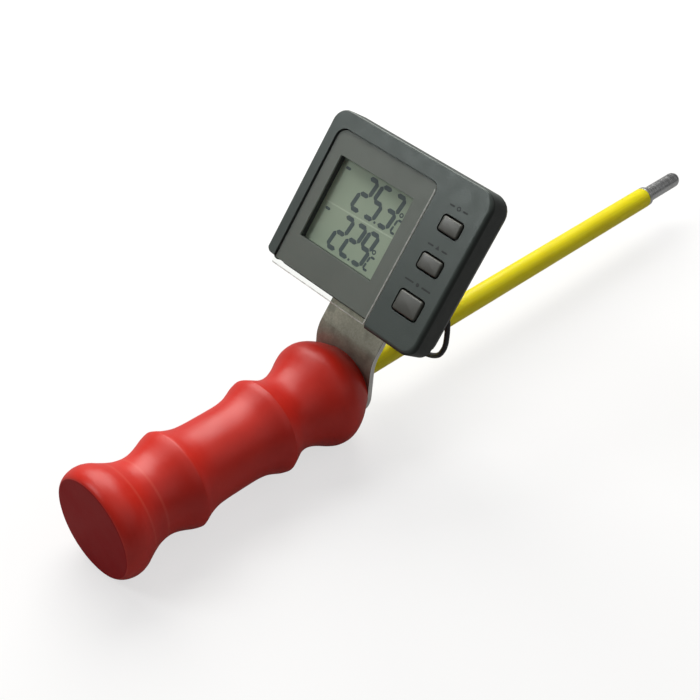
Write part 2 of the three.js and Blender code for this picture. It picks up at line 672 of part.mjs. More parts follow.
frontCavity = frontCavity.add(slab(windowCavity, -PARTING_Z - OVERCUT, -WINDOW_CEILING));
const screwPlaces = [];
const screwY = halfH - CASE_SCREW_FROM_EDGE;
for (const x of [-halfW + CASE_SCREW_FROM_LEFT, halfW - CASE_SCREW_FROM_RIGHT]) {
  for (const y of [-screwY, screwY]) screwPlaces.push([x, y]);
}
const caseHeadTop = -caseDepth + CASE_HEAD_DEPTH - GAP - CASE_HEAD_H;
const caseScrewEnd = caseHeadTop + CASE_HEAD_H + CASE_SCREW_LENGTH;
const boardX0 = cavityX0 + BOARD_CLEAR;
const boardX1 = cavityX1 - BOARD_CLEAR;
const boardY0 = cavityY0 + BOARD_CLEAR;
const boardY1 = cavityY1 - BOARD_CLEAR;
const restX0 = -halfW + REST_FROM_LEFT;
const restX1 = splitX - REST_FROM_SPLIT;
const restPlaces = [
  [restX1, boardY1 - REST_IN], [restX1, boardY0 + REST_IN],
  [restX0, CASE_H * REST_HEIGHT_SHARE], [restX0, -CASE_H * REST_HEIGHT_SHARE],
];
for (const [x, y] of screwPlaces) {
  frontCavity = frontCavity.subtract(bar(x, y, POST_R, -PARTING_Z, 0));
}
for (const [x, y] of restPlaces) {
  frontCavity = frontCavity.subtract(bar(x, y, REST_R, -pcbTop + GAP, 0));
}
front = front.subtract(frontCavity);
for (const [x, y] of screwPlaces) {
  front = front.subtract(bar(x, y, CASE_SCREW_R + GAP, -PARTING_Z - OVERCUT, caseScrewEnd + 2 * GAP));
}
const lensRadii = [LENS_R_LOW, LENS_R_LOW, LENS_R_TR, LENS_R_TL];
const recess = rounded(lensX0 - GAP, lensX1 + GAP, -halfH - OVERCUT, lensY1 + GAP,
  [0, 0, LENS_R_TR + GAP, LENS_R_TL + GAP]);
front = front.subtract(slab(recess, seatZ, OVERCUT));
const lcdX0 = lensX0 + LCD_LEFT;
const lcdX1 = lensX1 - LCD_RIGHT;
const lcdY0 = lensY0 + LCD_BOTTOM;
const lcdY1 = lensY1 - LCD_TOP;
front = front.subtract(box(lcdX0, lcdX1, lcdY0, lcdY1, -caseDepth, OVERCUT));
const keyX = halfW - KEY_FROM_RIGHT;
const keys = [
  ['key_top', KEY_TOP_W, KEY_TOP_H],
  ['key_middle', KEY_MIDDLE_W, KEY_MIDDLE_H],
  ['key_bottom', KEY_BOTTOM_W, KEY_BOTTOM_H],
].map(([name, w, h], i) => ({ name, w, h, y: KEY_HEIGHT_SHARES[i] * CASE_H }));
for (const key of keys) {
  const hw = key.w / 2 + KEY_CLEAR;
  const hh = key.h / 2 + KEY_CLEAR;
  const r = KEY_CORNER_R + KEY_CLEAR;
  const hole = rounded(keyX - hw, keyX + hw, key.y - hh, key.y + hh, [r, r, r, r], KEY_CORNER_STEPS);
  front = front.subtract(slab(hole, -KEY_CEILING - OVERCUT, OVERCUT));
}
add(display, 'front_shell', front, SHELL());

// Window
const lens = rounded(lensX0, lensX1, lensY0, lensY1, lensRadii);
add(display, 'window', slab(lens, -LENS_THICK, 0), CLEAR());

// LCD glass and the two rubber strips behind it
const lcdTop = -WINDOW_CEILING - GAP;
const lcdBottom = lcdTop - LCD_THICK;
const glassX0 = lcdX0 - LCD_MARGIN_X;
const glassX1 = lcdX1 + LCD_MARGIN_X;
const glassY0 = lcdY0 - LCD_MARGIN_Y;
const glassY1 = lcdY1 + LCD_MARGIN_Y;
add(display, 'lcd_glass', box(glassX0, glassX1, glassY0, glassY1, lcdBottom, lcdTop), LCD());
const contactTop = lcdBottom - GAP;
const contactBottom = contactTop - CONTACT_H;
[['lcd_contact_lower', glassY0], ['lcd_contact_upper', glassY1 - CONTACT_T]].forEach(([name, y]) => {
  add(display, name, box(glassX0 + CONTACT_INSET, glassX1 - CONTACT_INSET, y, y + CONTACT_T,
    contactBottom, contactTop), RUBBER());
});

// Board
const pcbBottom = -pcbTop - PCB_THICK;
let pcb = box(boardX0, boardX1, boardY0, boardY1, pcbBottom, -pcbTop);
for (const [x, y] of screwPlaces) {
  const out = Math.sign(x) * (CASE_W / 2);
  const outY = Math.sign(y) * (CASE_H / 2);
  const inX = x - Math.sign(x) * (POST_R + 2 * GAP);
  const inY = y - Math.sign(y) * (POST_R + 2 * GAP);
  pcb = pcb.subtract(box(Math.min(inX, out), Math.max(inX, out), Math.min(inY, outY), Math.max(inY, outY),
    -caseDepth, 0));
}
add(display, 'circuit_board', pcb, BOARD());
const underBoard = pcbBottom - GAP;
const resinProfile = RESIN_SHARES.map(([deep, r]) => [underBoard - RESIN_H * deep, RESIN_R * r]);
const resin = turnedUp([[underBoard - RESIN_H, 0], ...resinProfile, [underBoard, 0]], SMALL_SIDES);
add(display, 'controller_resin', resin.translate(boardX0 + RESIN_AT_X, boardY0 + RESIN_AT_Y, 0), BLACK());
add(display, 'air_sensor', bar(boardX0 + AIR_BEAD_AT_X, boardY0 + AIR_BEAD_AT_Y, AIR_BEAD_R,
  underBoard - AIR_BEAD_H, underBoard, LEAD_SIDES), BLACK());

// Keys, plungers and switch housings
const flangeTop = -KEY_CEILING - GAP;
const flangeBottom = flangeTop - KEY_FLANGE_THICK;
const plungerTop = flangeBottom - GAP;
const plungerBottom = plungerTop - PLUNGER_LENGTH;
const switchBottom = -pcbTop + GAP;
const switchTop = flangeBottom - KEY_TRAVEL - GAP;
for (const key of keys) {
  const hw = key.w / 2;
  const hh = key.h / 2;
  const radii = [KEY_CORNER_R, KEY_CORNER_R, KEY_CORNER_R, KEY_CORNER_R];
  const body = crownedSlab(rounded(keyX - hw, keyX + hw, key.y - hh, key.y + hh, radii, KEY_CORNER_STEPS),
    flangeBottom, KEY_PROUD, KEY_EDGE, KEY_EDGE_STEPS);
  const f = KEY_FLANGE;
  const flange = box(keyX - hw - f, keyX + hw + f, key.y - hh - f, key.y + hh + f, flangeBottom, flangeTop);
  add(display, key.name, body.add(flange), KEY());
  add(display, key.name + '_plunger', bar(keyX, key.y, PLUNGER_R, plungerBottom, plungerTop), BLACK());
  const h = SWITCH_SIDE / 2;
  let housing = box(keyX - h, keyX + h, key.y - h, key.y + h, switchBottom, switchTop);
  housing = housing.subtract(bar(keyX, key.y, PLUNGER_R + GAP, switchBottom + SWITCH_FLOOR, 0));
  add(display, key.name.replace('key', 'switch'), housing, BLACK());
}

// Rear shell
const rearTop = -PARTING_Z - GAP;
const back = -caseDepth;
const rearX = halfW - REAR_STEP;
const rearY = halfH - REAR_STEP;
function flipped(solid) {
  return solid.mirror([0, 0, 1]);
}
const rearLean = REAR_TAPER / (rearTop - back);
const rearWall = back + WALL;
// The rear shell's form, set in all round. One outline's right-hand side leans in, the other has the rest
function rearForm(inset, [bl, br, tr, tl], extrude) {
  const x = rearX - inset;
  const y = rearY - inset;
  const rest = extrude(rounded(-x, CASE_W, -y, y, [bl, 0, 0, tl]));
  const right = extrude(rounded(-CASE_W, x - rearLean * rearTop, -y, y, [0, br, tr, 0]));
  return rest.intersect(sheared(right, rearLean, 0));
}
const rearSkin = (points) => flipped(crownedSlab(points, -rearTop, caseDepth, REAR_EDGE_R, EDGE_STEPS));
let rear = rearForm(0, caseRadii, rearSkin);
let rearCavity = rearForm(WALL, cavityRadii, (points) => slab(points, rearWall, 0));
for (const [x, y] of screwPlaces) rearCavity = rearCavity.subtract(bar(x, y, TUBE_R, back, rearTop));
const bossTop = back + STRIP_BOSS_H;
const ledgeTop = back + LEDGE_H;
const cellY = halfH - CELL_FROM_TOP;
for (const y of stripScrewYs) rearCavity = rearCavity.subtract(bar(0, y, STRIP_BOSS_R, back, bossTop));
for (const [x, y] of restPlaces) rearCavity = rearCavity.subtract(bar(x, y, REST_R, back, underBoard));
rearCavity = rearCavity.subtract(bar(0, cellY, LEDGE_R, back, ledgeTop, COVER_SIDES));
rear = rear.subtract(rearCavity);
for (const [x, y] of screwPlaces) {
  rear = rear.subtract(bar(x, y, CASE_SCREW_R + GAP, back - OVERCUT, 0));
  rear = rear.subtract(bar(x, y, CASE_HEAD_R + GAP, back - OVERCUT, back + CASE_HEAD_DEPTH));
}
for (const y of stripScrewYs) {
  rear = rear.subtract(bar(0, y, STRIP_SCREW_R + GAP, back - OVERCUT, bossTop + OVERCUT));
}
const ledgeBottom = back + COVER_THICK + GAP;
rear = rear.subtract(bar(0, cellY, COVER_R + GAP, back - OVERCUT, ledgeBottom, COVER_SIDES));
rear = rear.subtract(bar(0, cellY, COLLAR_R + GAP, back - OVERCUT, 0, COVER_SIDES));
const lugR = COLLAR_R + LUG_REACH;
const notchX = lugR + GAP;
const notchY = NOTCH_WIDTH / 2;
const notch = box(-notchX, notchX, -notchY, notchY, ledgeBottom, ledgeTop + OVERCUT)
  .rotate([0, 0, NOTCH_TURN]).translate(0, cellY, 0);
rear = rear.subtract(notch);
const exitX = halfW - CASE_EXIT_FROM_RIGHT;
const exitY = -halfH + CASE_EXIT_FROM_BOTTOM;
rear = rear.subtract(bar(exitX, exitY, SLEEVE_R + GAP, back - OVERCUT, rearWall + OVERCUT));
add(display, 'rear_shell', rear, REAR());

// Case screws, heads sunk in the rear shell
['case_screw_1', 'case_screw_2', 'case_screw_3', 'case_screw_4'].forEach((name, i) => {
  const [x, y] = screwPlaces[i];
  const body = flipped(screw(CASE_HEAD_R, CASE_HEAD_H, CASE_SCREW_R, CASE_SCREW_LENGTH, 0));
  add(display, name, body.translate(x, y, caseHeadTop), BRIGHT());
});

// Strip screws into the rear shell
[['bracket_screw_lower', 0], ['bracket_screw_upper', 1]].forEach(([name, i]) => {
  const headTop = -backFace - STRIP_THICK - GAP - STRIP_HEAD_H;
  const body = flipped(screw(STRIP_HEAD_R, STRIP_HEAD_H, STRIP_SCREW_R, STRIP_SCREW_LENGTH, 0));
  add(display, name, body.translate(0, stripScrewYs[i], headTop), BRIGHT());
});

// Button cell, its contact, and the cover that turns by a coin
const cellBottom = back + COVER_THICK + GAP;
const cellTop = cellBottom + CELL_H;
const capR = CELL_R * CELL_CAP_SHARE;
add(display, 'button_cell', turnedUp([
  [cellBottom, 0], [cellBottom, CELL_R], [cellBottom + CELL_H * CELL_STEP_SHARES[0], CELL_R],
  [cellBottom + CELL_H * CELL_STEP_SHARES[1], capR], [cellTop, capR], [cellTop, 0],
], STEM_SIDES).translate(0, cellY, 0), BRIGHT());
add(display, 'battery_contact', box(-SPRING_W / 2, SPRING_W / 2, cellY - SPRING_L / 2, cellY + SPRING_L / 2,
  cellTop + GAP, cellTop + GAP + SPRING_THICK), BRASS());
let cover = bar(0, 0, COVER_R, back, back + COVER_THICK, COVER_SIDES);
cover = cover.add(bar(0, 0, COLLAR_R, back, back + COLLAR_H, COVER_SIDES));
const lugBottom = ledgeTop + GAP;
cover = cover.add(box(-lugR, lugR, -LUG_WIDTH / 2, LUG_WIDTH / 2, lugBottom, lugBottom + LUG_THICK));
cover = cover.subtract(bar(0, 0, COLLAR_BORE_R, back + COVER_THICK, 0, COVER_SIDES));
cover = cover.subtract(box(-COIN_SLOT_L / 2, COIN_SLOT_L / 2, -COIN_SLOT_W / 2, COIN_SLOT_W / 2,
  back - OVERCUT, back + COIN_SLOT_DEPTH));
add(display, 'battery_cover', cover.translate(0, cellY, 0), REAR());

// Sleeve in the rear shell, and the free loop of the lead between the two sleeves
const caseSleeveEnd = back - CASE_SLEEVE_OUT;
let caseSleeve = bar(0, 0, SLEEVE_R, caseSleeveEnd, rearWall + OVERCUT);
caseSleeve = caseSleeve.add(bar(0, 0, CASE_SLEEVE_FLANGE_R, back - GAP - CASE_SLEEVE_FLANGE, back - GAP));
caseSleeve = caseSleeve.subtract(bar(0, 0, SLEEVE_BORE_R, caseSleeveEnd - OVERCUT, 0));
add(display, 'case_sleeve', caseSleeve.translate(exitX, exitY, 0), RUBBER());
add(display, 'case_lead', bar(exitX, exitY, LEAD_R, caseSleeveEnd, underBoard, LEAD_SIDES), BLACK());

const loopStart = toWorld([exitX, exitY, caseSleeveEnd - GAP]);
const loopEnd = sleeveEnd.clone().addScaledVector(leadOut, GAP);
const loopPoints = [loopStart];
LOOP_ROUTE.forEach((p) => loopPoints.push(toWorld(p)));
loopPoints.push(loopEnd.clone().addScaledVector(leadOut, 2 * LEAD_R));
loopPoints.push(loopEnd);
const loopCurve = new THREE.CatmullRomCurve3(loopPoints, false, 'centripetal');
add(model, 'sensor_cable', cord(loopCurve, LEAD_R, LEAD_SIDES, LOOP_STEPS), BLACK());

export default model;
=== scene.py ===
# %% [markdown]
# # A hand-held digital thermometer
#
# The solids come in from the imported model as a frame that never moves. This lesson dresses them: it sets the
# camera and the light, then makes each visible piece again with finer edges, and gives every piece its own
# finish. Every Blender length is in metres, so sizes that are easier to read in millimetres go through MM.

# %% Load the frame
import json
import math

import bmesh
import bpy
from mathutils import Matrix, Vector

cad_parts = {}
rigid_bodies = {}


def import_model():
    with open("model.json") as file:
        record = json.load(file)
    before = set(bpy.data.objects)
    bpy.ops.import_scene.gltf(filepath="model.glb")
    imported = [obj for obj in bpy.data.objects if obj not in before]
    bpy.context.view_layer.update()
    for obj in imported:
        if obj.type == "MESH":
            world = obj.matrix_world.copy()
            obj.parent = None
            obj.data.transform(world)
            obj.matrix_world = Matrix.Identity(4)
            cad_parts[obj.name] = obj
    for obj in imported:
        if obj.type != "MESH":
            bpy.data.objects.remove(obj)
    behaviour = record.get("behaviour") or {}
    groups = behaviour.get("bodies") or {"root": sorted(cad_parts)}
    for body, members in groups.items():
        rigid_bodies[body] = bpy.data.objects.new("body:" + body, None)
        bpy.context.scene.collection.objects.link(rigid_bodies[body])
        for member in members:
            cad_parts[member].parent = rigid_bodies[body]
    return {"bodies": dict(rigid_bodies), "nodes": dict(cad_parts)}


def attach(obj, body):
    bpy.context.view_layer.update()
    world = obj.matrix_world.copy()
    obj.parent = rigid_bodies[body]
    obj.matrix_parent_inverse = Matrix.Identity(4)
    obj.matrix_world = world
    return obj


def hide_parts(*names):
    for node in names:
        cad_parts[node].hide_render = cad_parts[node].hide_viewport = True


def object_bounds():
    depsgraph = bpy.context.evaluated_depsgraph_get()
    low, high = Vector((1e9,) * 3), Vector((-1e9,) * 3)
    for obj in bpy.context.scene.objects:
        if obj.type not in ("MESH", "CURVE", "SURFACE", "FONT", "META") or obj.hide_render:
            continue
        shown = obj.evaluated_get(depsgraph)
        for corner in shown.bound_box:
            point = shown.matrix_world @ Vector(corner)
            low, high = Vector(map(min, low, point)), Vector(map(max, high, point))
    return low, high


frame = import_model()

MM = 0.001
cad_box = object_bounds()
ROOT = "thermometer"
print("box in mm:", [[round(value / MM, 1) for value in corner] for corner in cad_box])

# %% [markdown]
# ## Camera
#
# A camera is easiest to aim with a place, a point it looks at and a roll. Blender's cameras look along their
# own -Z axis, so a tracking quaternion turns -Z to the target, and the roll is a turn about the same axis.
# The field of view is a focal length on a sensor of a known width.

# %% Set the camera
CAMERA_AT = Vector((-134.7, -215.2, 284.7)) * MM
LOOK_AT = Vector((90.4, -10.8, 24.8)) * MM
CAMERA_ROLL = math.radians(5.13)
LENS_MM = 66.86
SENSOR_MM = 36
CLIP_START = 10

camera_data = bpy.data.cameras.new("camera")
camera_data.sensor_width = SENSOR_MM
camera_data.lens = LENS_MM
camera_data.clip_start = CLIP_START * MM
camera = bpy.data.objects.new("camera", camera_data)
bpy.context.scene.collection.objects.link(camera)
aim = (LOOK_AT - CAMERA_AT).to_track_quat("-Z", "Y").to_matrix().to_4x4()
camera.matrix_world = Matrix.Translation(CAMERA_AT) @ aim @ Matrix.Rotation(CAMERA_ROLL, 4, "Z")
bpy.context.scene.camera = camera
print("camera is", round((LOOK_AT - CAMERA_AT).length / MM), "mm from what it looks at")

# %% [markdown]
# ## Sensor cable
#
# A thin lead leaves the back of the case through a rubber sleeve, makes one loose loop and goes into the side
# of the stem. A cord is best as a curve: Blender keeps it round and smooth however it bends, and automatic
# Bezier handles run through every point of the route. The points below are in millimetres in the display's
# own frame, x to the right, y up and z out of its face, so the display's place comes first.

# %% The display's place
DISPLAY_TILT = math.radians(55)
DISPLAY_CENTRE = Vector((108.26, 0, 56.28))
DISPLAY_RIGHT = Vector((0, -1, 0))
DISPLAY_UP = Vector((math.cos(DISPLAY_TILT), 0, math.sin(DISPLAY_TILT)))
DISPLAY_NORMAL = Vector((-math.sin(DISPLAY_TILT), 0, math.cos(DISPLAY_TILT)))

WORLD = Matrix.Scale(MM, 4)
columns = Matrix((DISPLAY_RIGHT, DISPLAY_UP, DISPLAY_NORMAL)).transposed().to_4x4()
DISPLAY = WORLD @ Matrix.Translation(DISPLAY_CENTRE) @ columns
print("display leans back", round(math.degrees(DISPLAY_TILT)), "degrees from the stem")

# %% Route of the cable
CABLE_R = 0.9
GAP = 0.3
CABLE_ROUTE = [
    (26.1, -13.2, -17.5), (26.14, -13.35, -18.6), (26.4, -14.5, -20.3), (26.95, -16.9, -21.9),
    (27.45, -19.8, -23.5), (27.4, -22.5, -25.3), (26.5, -24.8, -27.2), (25.1, -26.7, -29),
    (23, -28.1, -30.7), (20.4, -29.2, -32.3), (17.6, -30, -33.7), (14.7, -30.6, -35), (11.8, -31.2, -36.2),
]
STEM_R = 4
STEM_HOLE_X = 124
STEM_HOLE_LEAN = math.radians(60)
STEM_HOLE_TURN = math.radians(35.26)
STEM_SLEEVE_OUT = 2.3

outward = Vector((0, -math.sin(STEM_HOLE_TURN), math.cos(STEM_HOLE_TURN)))
lead_out = Vector((-math.cos(STEM_HOLE_LEAN), 0, 0)) + outward * math.sin(STEM_HOLE_LEAN)
stem_hole = Vector((STEM_HOLE_X, 0, 0)) + outward * STEM_R
cable_end = stem_hole + lead_out * (STEM_SLEEVE_OUT + GAP)
cable_points = [DISPLAY @ Vector(point) for point in CABLE_ROUTE]
cable_points += [(cable_end + lead_out * 2 * CABLE_R) * MM, cable_end * MM]

# %% [markdown]
# A curve turns into a round cord when it gets a bevel depth. The depth is 1 here, so that the radius of each
# of its points is the cord's real radius.

# %% Make the cable
cable_curve = bpy.data.curves.new("sensor_cable_round", "CURVE")
cable_curve.dimensions = "3D"
cable_curve.bevel_depth = 1
cable_curve.bevel_resolution = 5
cable_curve.resolution_u = 10
cable_curve.use_fill_caps = True
spline = cable_curve.splines.new("BEZIER")
spline.bezier_points.add(len(cable_points) - 1)
for knot, point in zip(spline.bezier_points, cable_points):
    knot.co = point
    knot.radius = CABLE_R * MM
    knot.handle_left_type = "AUTO"
    knot.handle_right_type = "AUTO"
cable = bpy.data.objects.new("sensor_cable_round", cable_curve)
bpy.context.scene.collection.objects.link(cable)
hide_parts("sensor_cable")
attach(cable, ROOT)
print("cable is", 2 * CABLE_R, "mm thick")

# %% [markdown]
# ## Building shaders in a script
#
# A shader is a tree of nodes joined by links. A few short functions save many lines: each makes one node,
# sets it up and gives back the socket that carries its result. An input can be a plain number or another
# socket.

# %% Tools for node trees


def feed(tree, value, socket):
    """Sets a socket to a plain number, or links it to the socket that carries its value."""
    if isinstance(value, (int, float)):
        socket.default_value = value
    else:
        tree.links.new(value, socket)


def math_node(tree, operation, *values):
    """A Math node."""
    node = tree.nodes.new("ShaderNodeMath")
    node.operation = operation
    for value, socket in zip(values, node.inputs):
        feed(tree, value, socket)
    return node.outputs[0]


def noise_node(tree, vector, scale, detail=3.0, roughness=0.5):
    """A Noise Texture's value. The scale is about how many lumps fit in a metre."""
    node = tree.nodes.new("ShaderNodeTexNoise")
    for label, value in (("Vector", vector), ("Scale", scale), ("Detail", detail), ("Roughness", roughness)):
        feed(tree, value, node.inputs[label])
    return node.outputs[0]


def range_node(tree, value, low, high, to_low=0.0, to_high=1.0):
    """A Map Range node, clamped and smooth."""
    node = tree.nodes.new("ShaderNodeMapRange")
    node.interpolation_type = "SMOOTHSTEP"
    limits = {"From Min": low, "From Max": high, "To Min": to_low, "To Max": to_high}
    for label, number in limits.items():
        node.inputs[label].default_value = number
    tree.links.new(value, node.inputs["Value"])
    return node.outputs[0]


# %% [markdown]
# ## Floor and light
#
# A product picture needs little: a pale floor that keeps a soft shadow, one large soft lamp high behind the
# display for the highlights along the handle, a weaker one above the camera's side, and a faint one whose
# reflection lies over the display's face. The floor and the world answer camera rays with white, so the
# background is white while the lamps stay at a plain level.
#
# A Light Path node tells which kind of ray asks. Camera rays and rays through glass get the white in full,
# and reflections get a little of it, because a full white in them would wash out the dark plastics.

# %% Tool for the white background
GLOSSY_WHITE = 0.08


def add_background(tree, lit, white, output, shown):
    """Shows a share of a white shader to camera and transmitted rays, and less of it to glossy rays."""
    path = tree.nodes.new("ShaderNodeLightPath").outputs
    seen = math_node(tree, "MAXIMUM", path["Is Camera Ray"], path["Is Transmission Ray"])
    seen = math_node(tree, "MAXIMUM", seen, math_node(tree, "MULTIPLY", path["Is Glossy Ray"], GLOSSY_WHITE))
    mix = tree.nodes.new("ShaderNodeMixShader")
    for value, socket in zip((math_node(tree, "MULTIPLY", seen, shown), lit, white), mix.inputs):
        feed(tree, value, socket)
    tree.links.new(mix.outputs[0], output)
    return path


# %% Floor
FLOOR_SIZE = 6.0

floor_mesh = bmesh.new()
bmesh.ops.create_grid(floor_mesh, x_segments=1, y_segments=1, size=FLOOR_SIZE / 2)
bmesh.ops.translate(floor_mesh, verts=floor_mesh.verts, vec=(0, 0, cad_box[0][2]))
floor_data = bpy.data.meshes.new("floor")
floor_mesh.to_mesh(floor_data)
floor_mesh.free()
floor = bpy.data.objects.new("floor", floor_data)
bpy.context.scene.collection.objects.link(floor)
print("floor at", round(cad_box[0][2] / MM, 1), "mm")

# %% [markdown]
# The floor is a lit shader with plain white mixed over it. Near the object a share of the lit one stays, and
# that share is what shows the shadow. Further off it fades to white alone, so that the floor has no far edge.
# The lit floor also has three tones: pale to the camera, a middle grey to the light that it throws back up,
# and darker still to reflections, so that the underside of a shiny piece stays dark.

# %% Floor's paint
PALE = 0.86
BOUNCE = 0.45
DULL = 0.25
SHADOW_KEPT = 0.35
SHADOW_REACH = 0.45
FLOOR_ROUGHNESS = 0.9

floor_paint = bpy.data.materials.new("pale_floor")
floor_paint.use_nodes = True
floor_tree = floor_paint.node_tree
floor_shader = floor_tree.nodes["Principled BSDF"]
floor_shader.inputs["Roughness"].default_value = FLOOR_ROUGHNESS
floor_white = floor_tree.nodes.new("ShaderNodeEmission")
distance = floor_tree.nodes.new("ShaderNodeVectorMath")
distance.operation = "LENGTH"
feed(floor_tree, floor_tree.nodes.new("ShaderNodeTexCoord").outputs["Object"], distance.inputs[0])
floor_shown = range_node(floor_tree, distance.outputs["Value"], SHADOW_REACH, 2 * SHADOW_REACH,
                         1 - SHADOW_KEPT, 1)
floor_path = add_background(floor_tree, floor_shader.outputs[0], floor_white.outputs[0],
                            floor_tree.nodes["Material Output"].inputs["Surface"], floor_shown)
dulled = math_node(floor_tree, "MULTIPLY", floor_path["Is Glossy Ray"], DULL)
thrown_back = math_node(floor_tree, "SUBTRACT", BOUNCE, dulled)
pale = math_node(floor_tree, "MULTIPLY", floor_path["Is Camera Ray"], PALE)
feed(floor_tree, math_node(floor_tree, "MAXIMUM", thrown_back, pale), floor_shader.inputs["Base Color"])
floor_data.materials.append(floor_paint)
print("shadow shows to", round(SHADOW_REACH / MM), "mm")

# %% World
world = bpy.data.worlds.new("studio")
world.use_nodes = True
sky = world.node_tree.nodes["Background"]
sky.inputs["Color"].default_value = (0.95, 0.97, 1.0, 1)
sky.inputs["Strength"].default_value = 0.03
white_sky = world.node_tree.nodes.new("ShaderNodeBackground")
white_sky.inputs["Color"].default_value = (1, 1, 1, 1)
add_background(world.node_tree, sky.outputs[0], white_sky.outputs[0],
               world.node_tree.nodes["World Output"].inputs["Surface"], 1.0)
bpy.context.scene.world = world
bpy.context.scene.view_settings.view_transform = "Standard"
print("sky strength:", round(sky.inputs["Strength"].default_value, 3))

# %% Lamps
MIDDLE = Vector((110, -5, 15)) * MM
LAMP_DISTANCE = 0.9
WARM = (1.0, 0.98, 0.95)
COOL = (0.97, 0.99, 1.0)


def add_lamp(name, direction, size, power, colour):
    """A square area lamp that looks at the middle of the object."""
    data = bpy.data.lights.new(name, "AREA")
    data.shape = "SQUARE"
    data.size = size
    data.energy = power
    data.color = colour
    lamp = bpy.data.objects.new(name, data)
    place = MIDDLE + Vector(direction).normalized() * LAMP_DISTANCE
    turn = (MIDDLE - place).to_track_quat("-Z", "Y").to_matrix().to_4x4()
    lamp.matrix_world = Matrix.Translation(place) @ turn
    bpy.context.scene.collection.objects.link(lamp)


add_lamp("key_lamp", (0.3, 0.6, 0.74), size=0.85, power=12.5, colour=WARM)
add_lamp("near_lamp", (0.2, -0.5, 0.85), size=1.3, power=2.8, colour=WARM)
add_lamp("face_lamp", (-0.61, 0.47, 0.64), size=0.25, power=1.9, colour=COOL)

# %% [markdown]
# ## Shared shader groups
#
# Three effects are used by many finishes: fine grain, worn edges and faint handling marks. Each is a node
# group, built once, with its own inputs, and puts out only a height or a mask. The shaders stay in the
# materials. The grain adds soft round cells to noise, as spark erosion leaves in a mould.

# %% Fine grain


def new_group(name, result, **sizes):
    """An empty shader group with a Vector input, one input for each size and one output."""
    tree = bpy.data.node_groups.new(name, "ShaderNodeTree")
    tree.interface.new_socket(name="Vector", in_out="INPUT", socket_type="NodeSocketVector")
    for label, size in sizes.items():
        label = label.replace("_", " ")
        socket = tree.interface.new_socket(name=label, in_out="INPUT", socket_type="NodeSocketFloat")
        socket.default_value = size
    tree.interface.new_socket(name=result, in_out="OUTPUT", socket_type="NodeSocketFloat")
    return tree, tree.nodes.new("NodeGroupInput").outputs, tree.nodes.new("NodeGroupOutput").inputs


GRAIN, grain_in, grain_out = new_group("fine_grain", "Height", Size=0.4 * MM)
per_metre = math_node(GRAIN, "DIVIDE", 1, grain_in["Size"])
lumps = noise_node(GRAIN, grain_in["Vector"], per_metre, detail=2.0, roughness=0.6)
round_cells = GRAIN.nodes.new("ShaderNodeTexVoronoi")
round_cells.feature = "SMOOTH_F1"
feed(GRAIN, grain_in["Vector"], round_cells.inputs["Vector"])
feed(GRAIN, per_metre, round_cells.inputs["Scale"])
feed(GRAIN, math_node(GRAIN, "ADD", lumps, round_cells.outputs["Distance"]), grain_out["Height"])
print("grain nodes:", len(GRAIN.nodes))

# %% [markdown]
# A Bevel node gives the normal that a surface would have if its edges were rounder. Where that differs from
# the true normal there is an edge, and noise breaks the wear up into patches.

# %% Worn edges
TURN_AT_EDGE = (0.01, 0.14)
WORN_PATCHES = (0.4, 0.62)

EDGES, edges_in, edges_out = new_group("worn_edges", "Mask", Radius=0.4 * MM, Patch_Size=4 * MM)
round_off = EDGES.nodes.new("ShaderNodeBevel")
round_off.samples = 6
feed(EDGES, edges_in["Radius"], round_off.inputs["Radius"])
agree = EDGES.nodes.new("ShaderNodeVectorMath")
agree.operation = "DOT_PRODUCT"
feed(EDGES, round_off.outputs["Normal"], agree.inputs[0])
feed(EDGES, EDGES.nodes.new("ShaderNodeNewGeometry").outputs["Normal"], agree.inputs[1])
edge = range_node(EDGES, math_node(EDGES, "SUBTRACT", 1, agree.outputs["Value"]), *TURN_AT_EDGE)
patch_scale = math_node(EDGES, "DIVIDE", 1, edges_in["Patch Size"])
patches = range_node(EDGES, noise_node(EDGES, edges_in["Vector"], patch_scale, detail=4.0), *WORN_PATCHES)
feed(EDGES, math_node(EDGES, "MULTIPLY", edge, patches), edges_out["Mask"])
print("edge nodes:", len(EDGES.nodes))

# %% Handling marks
MARK_CLOUDS = (0.42, 0.68)

MARKS, marks_in, marks_out = new_group("handling_marks", "Mask", Size=15 * MM)
mark_scale = math_node(MARKS, "DIVIDE", 1, marks_in["Size"])
clouds = noise_node(MARKS, marks_in["Vector"], mark_scale, detail=5.0, roughness=0.6)
feed(MARKS, range_node(MARKS, clouds, *MARK_CLOUDS), marks_out["Mask"])
print("groups:", [tree.name for tree in (GRAIN, EDGES, MARKS)])

# %% [markdown]
# ## Finishes
#
# A finish is a Principled BSDF whose colour, roughness and bump vary a little over the surface. The helper
# below sets up the nodes that every finish shares. Numbers that are the same all over go straight on the
# shader's sockets.

# %% Tools for finishes


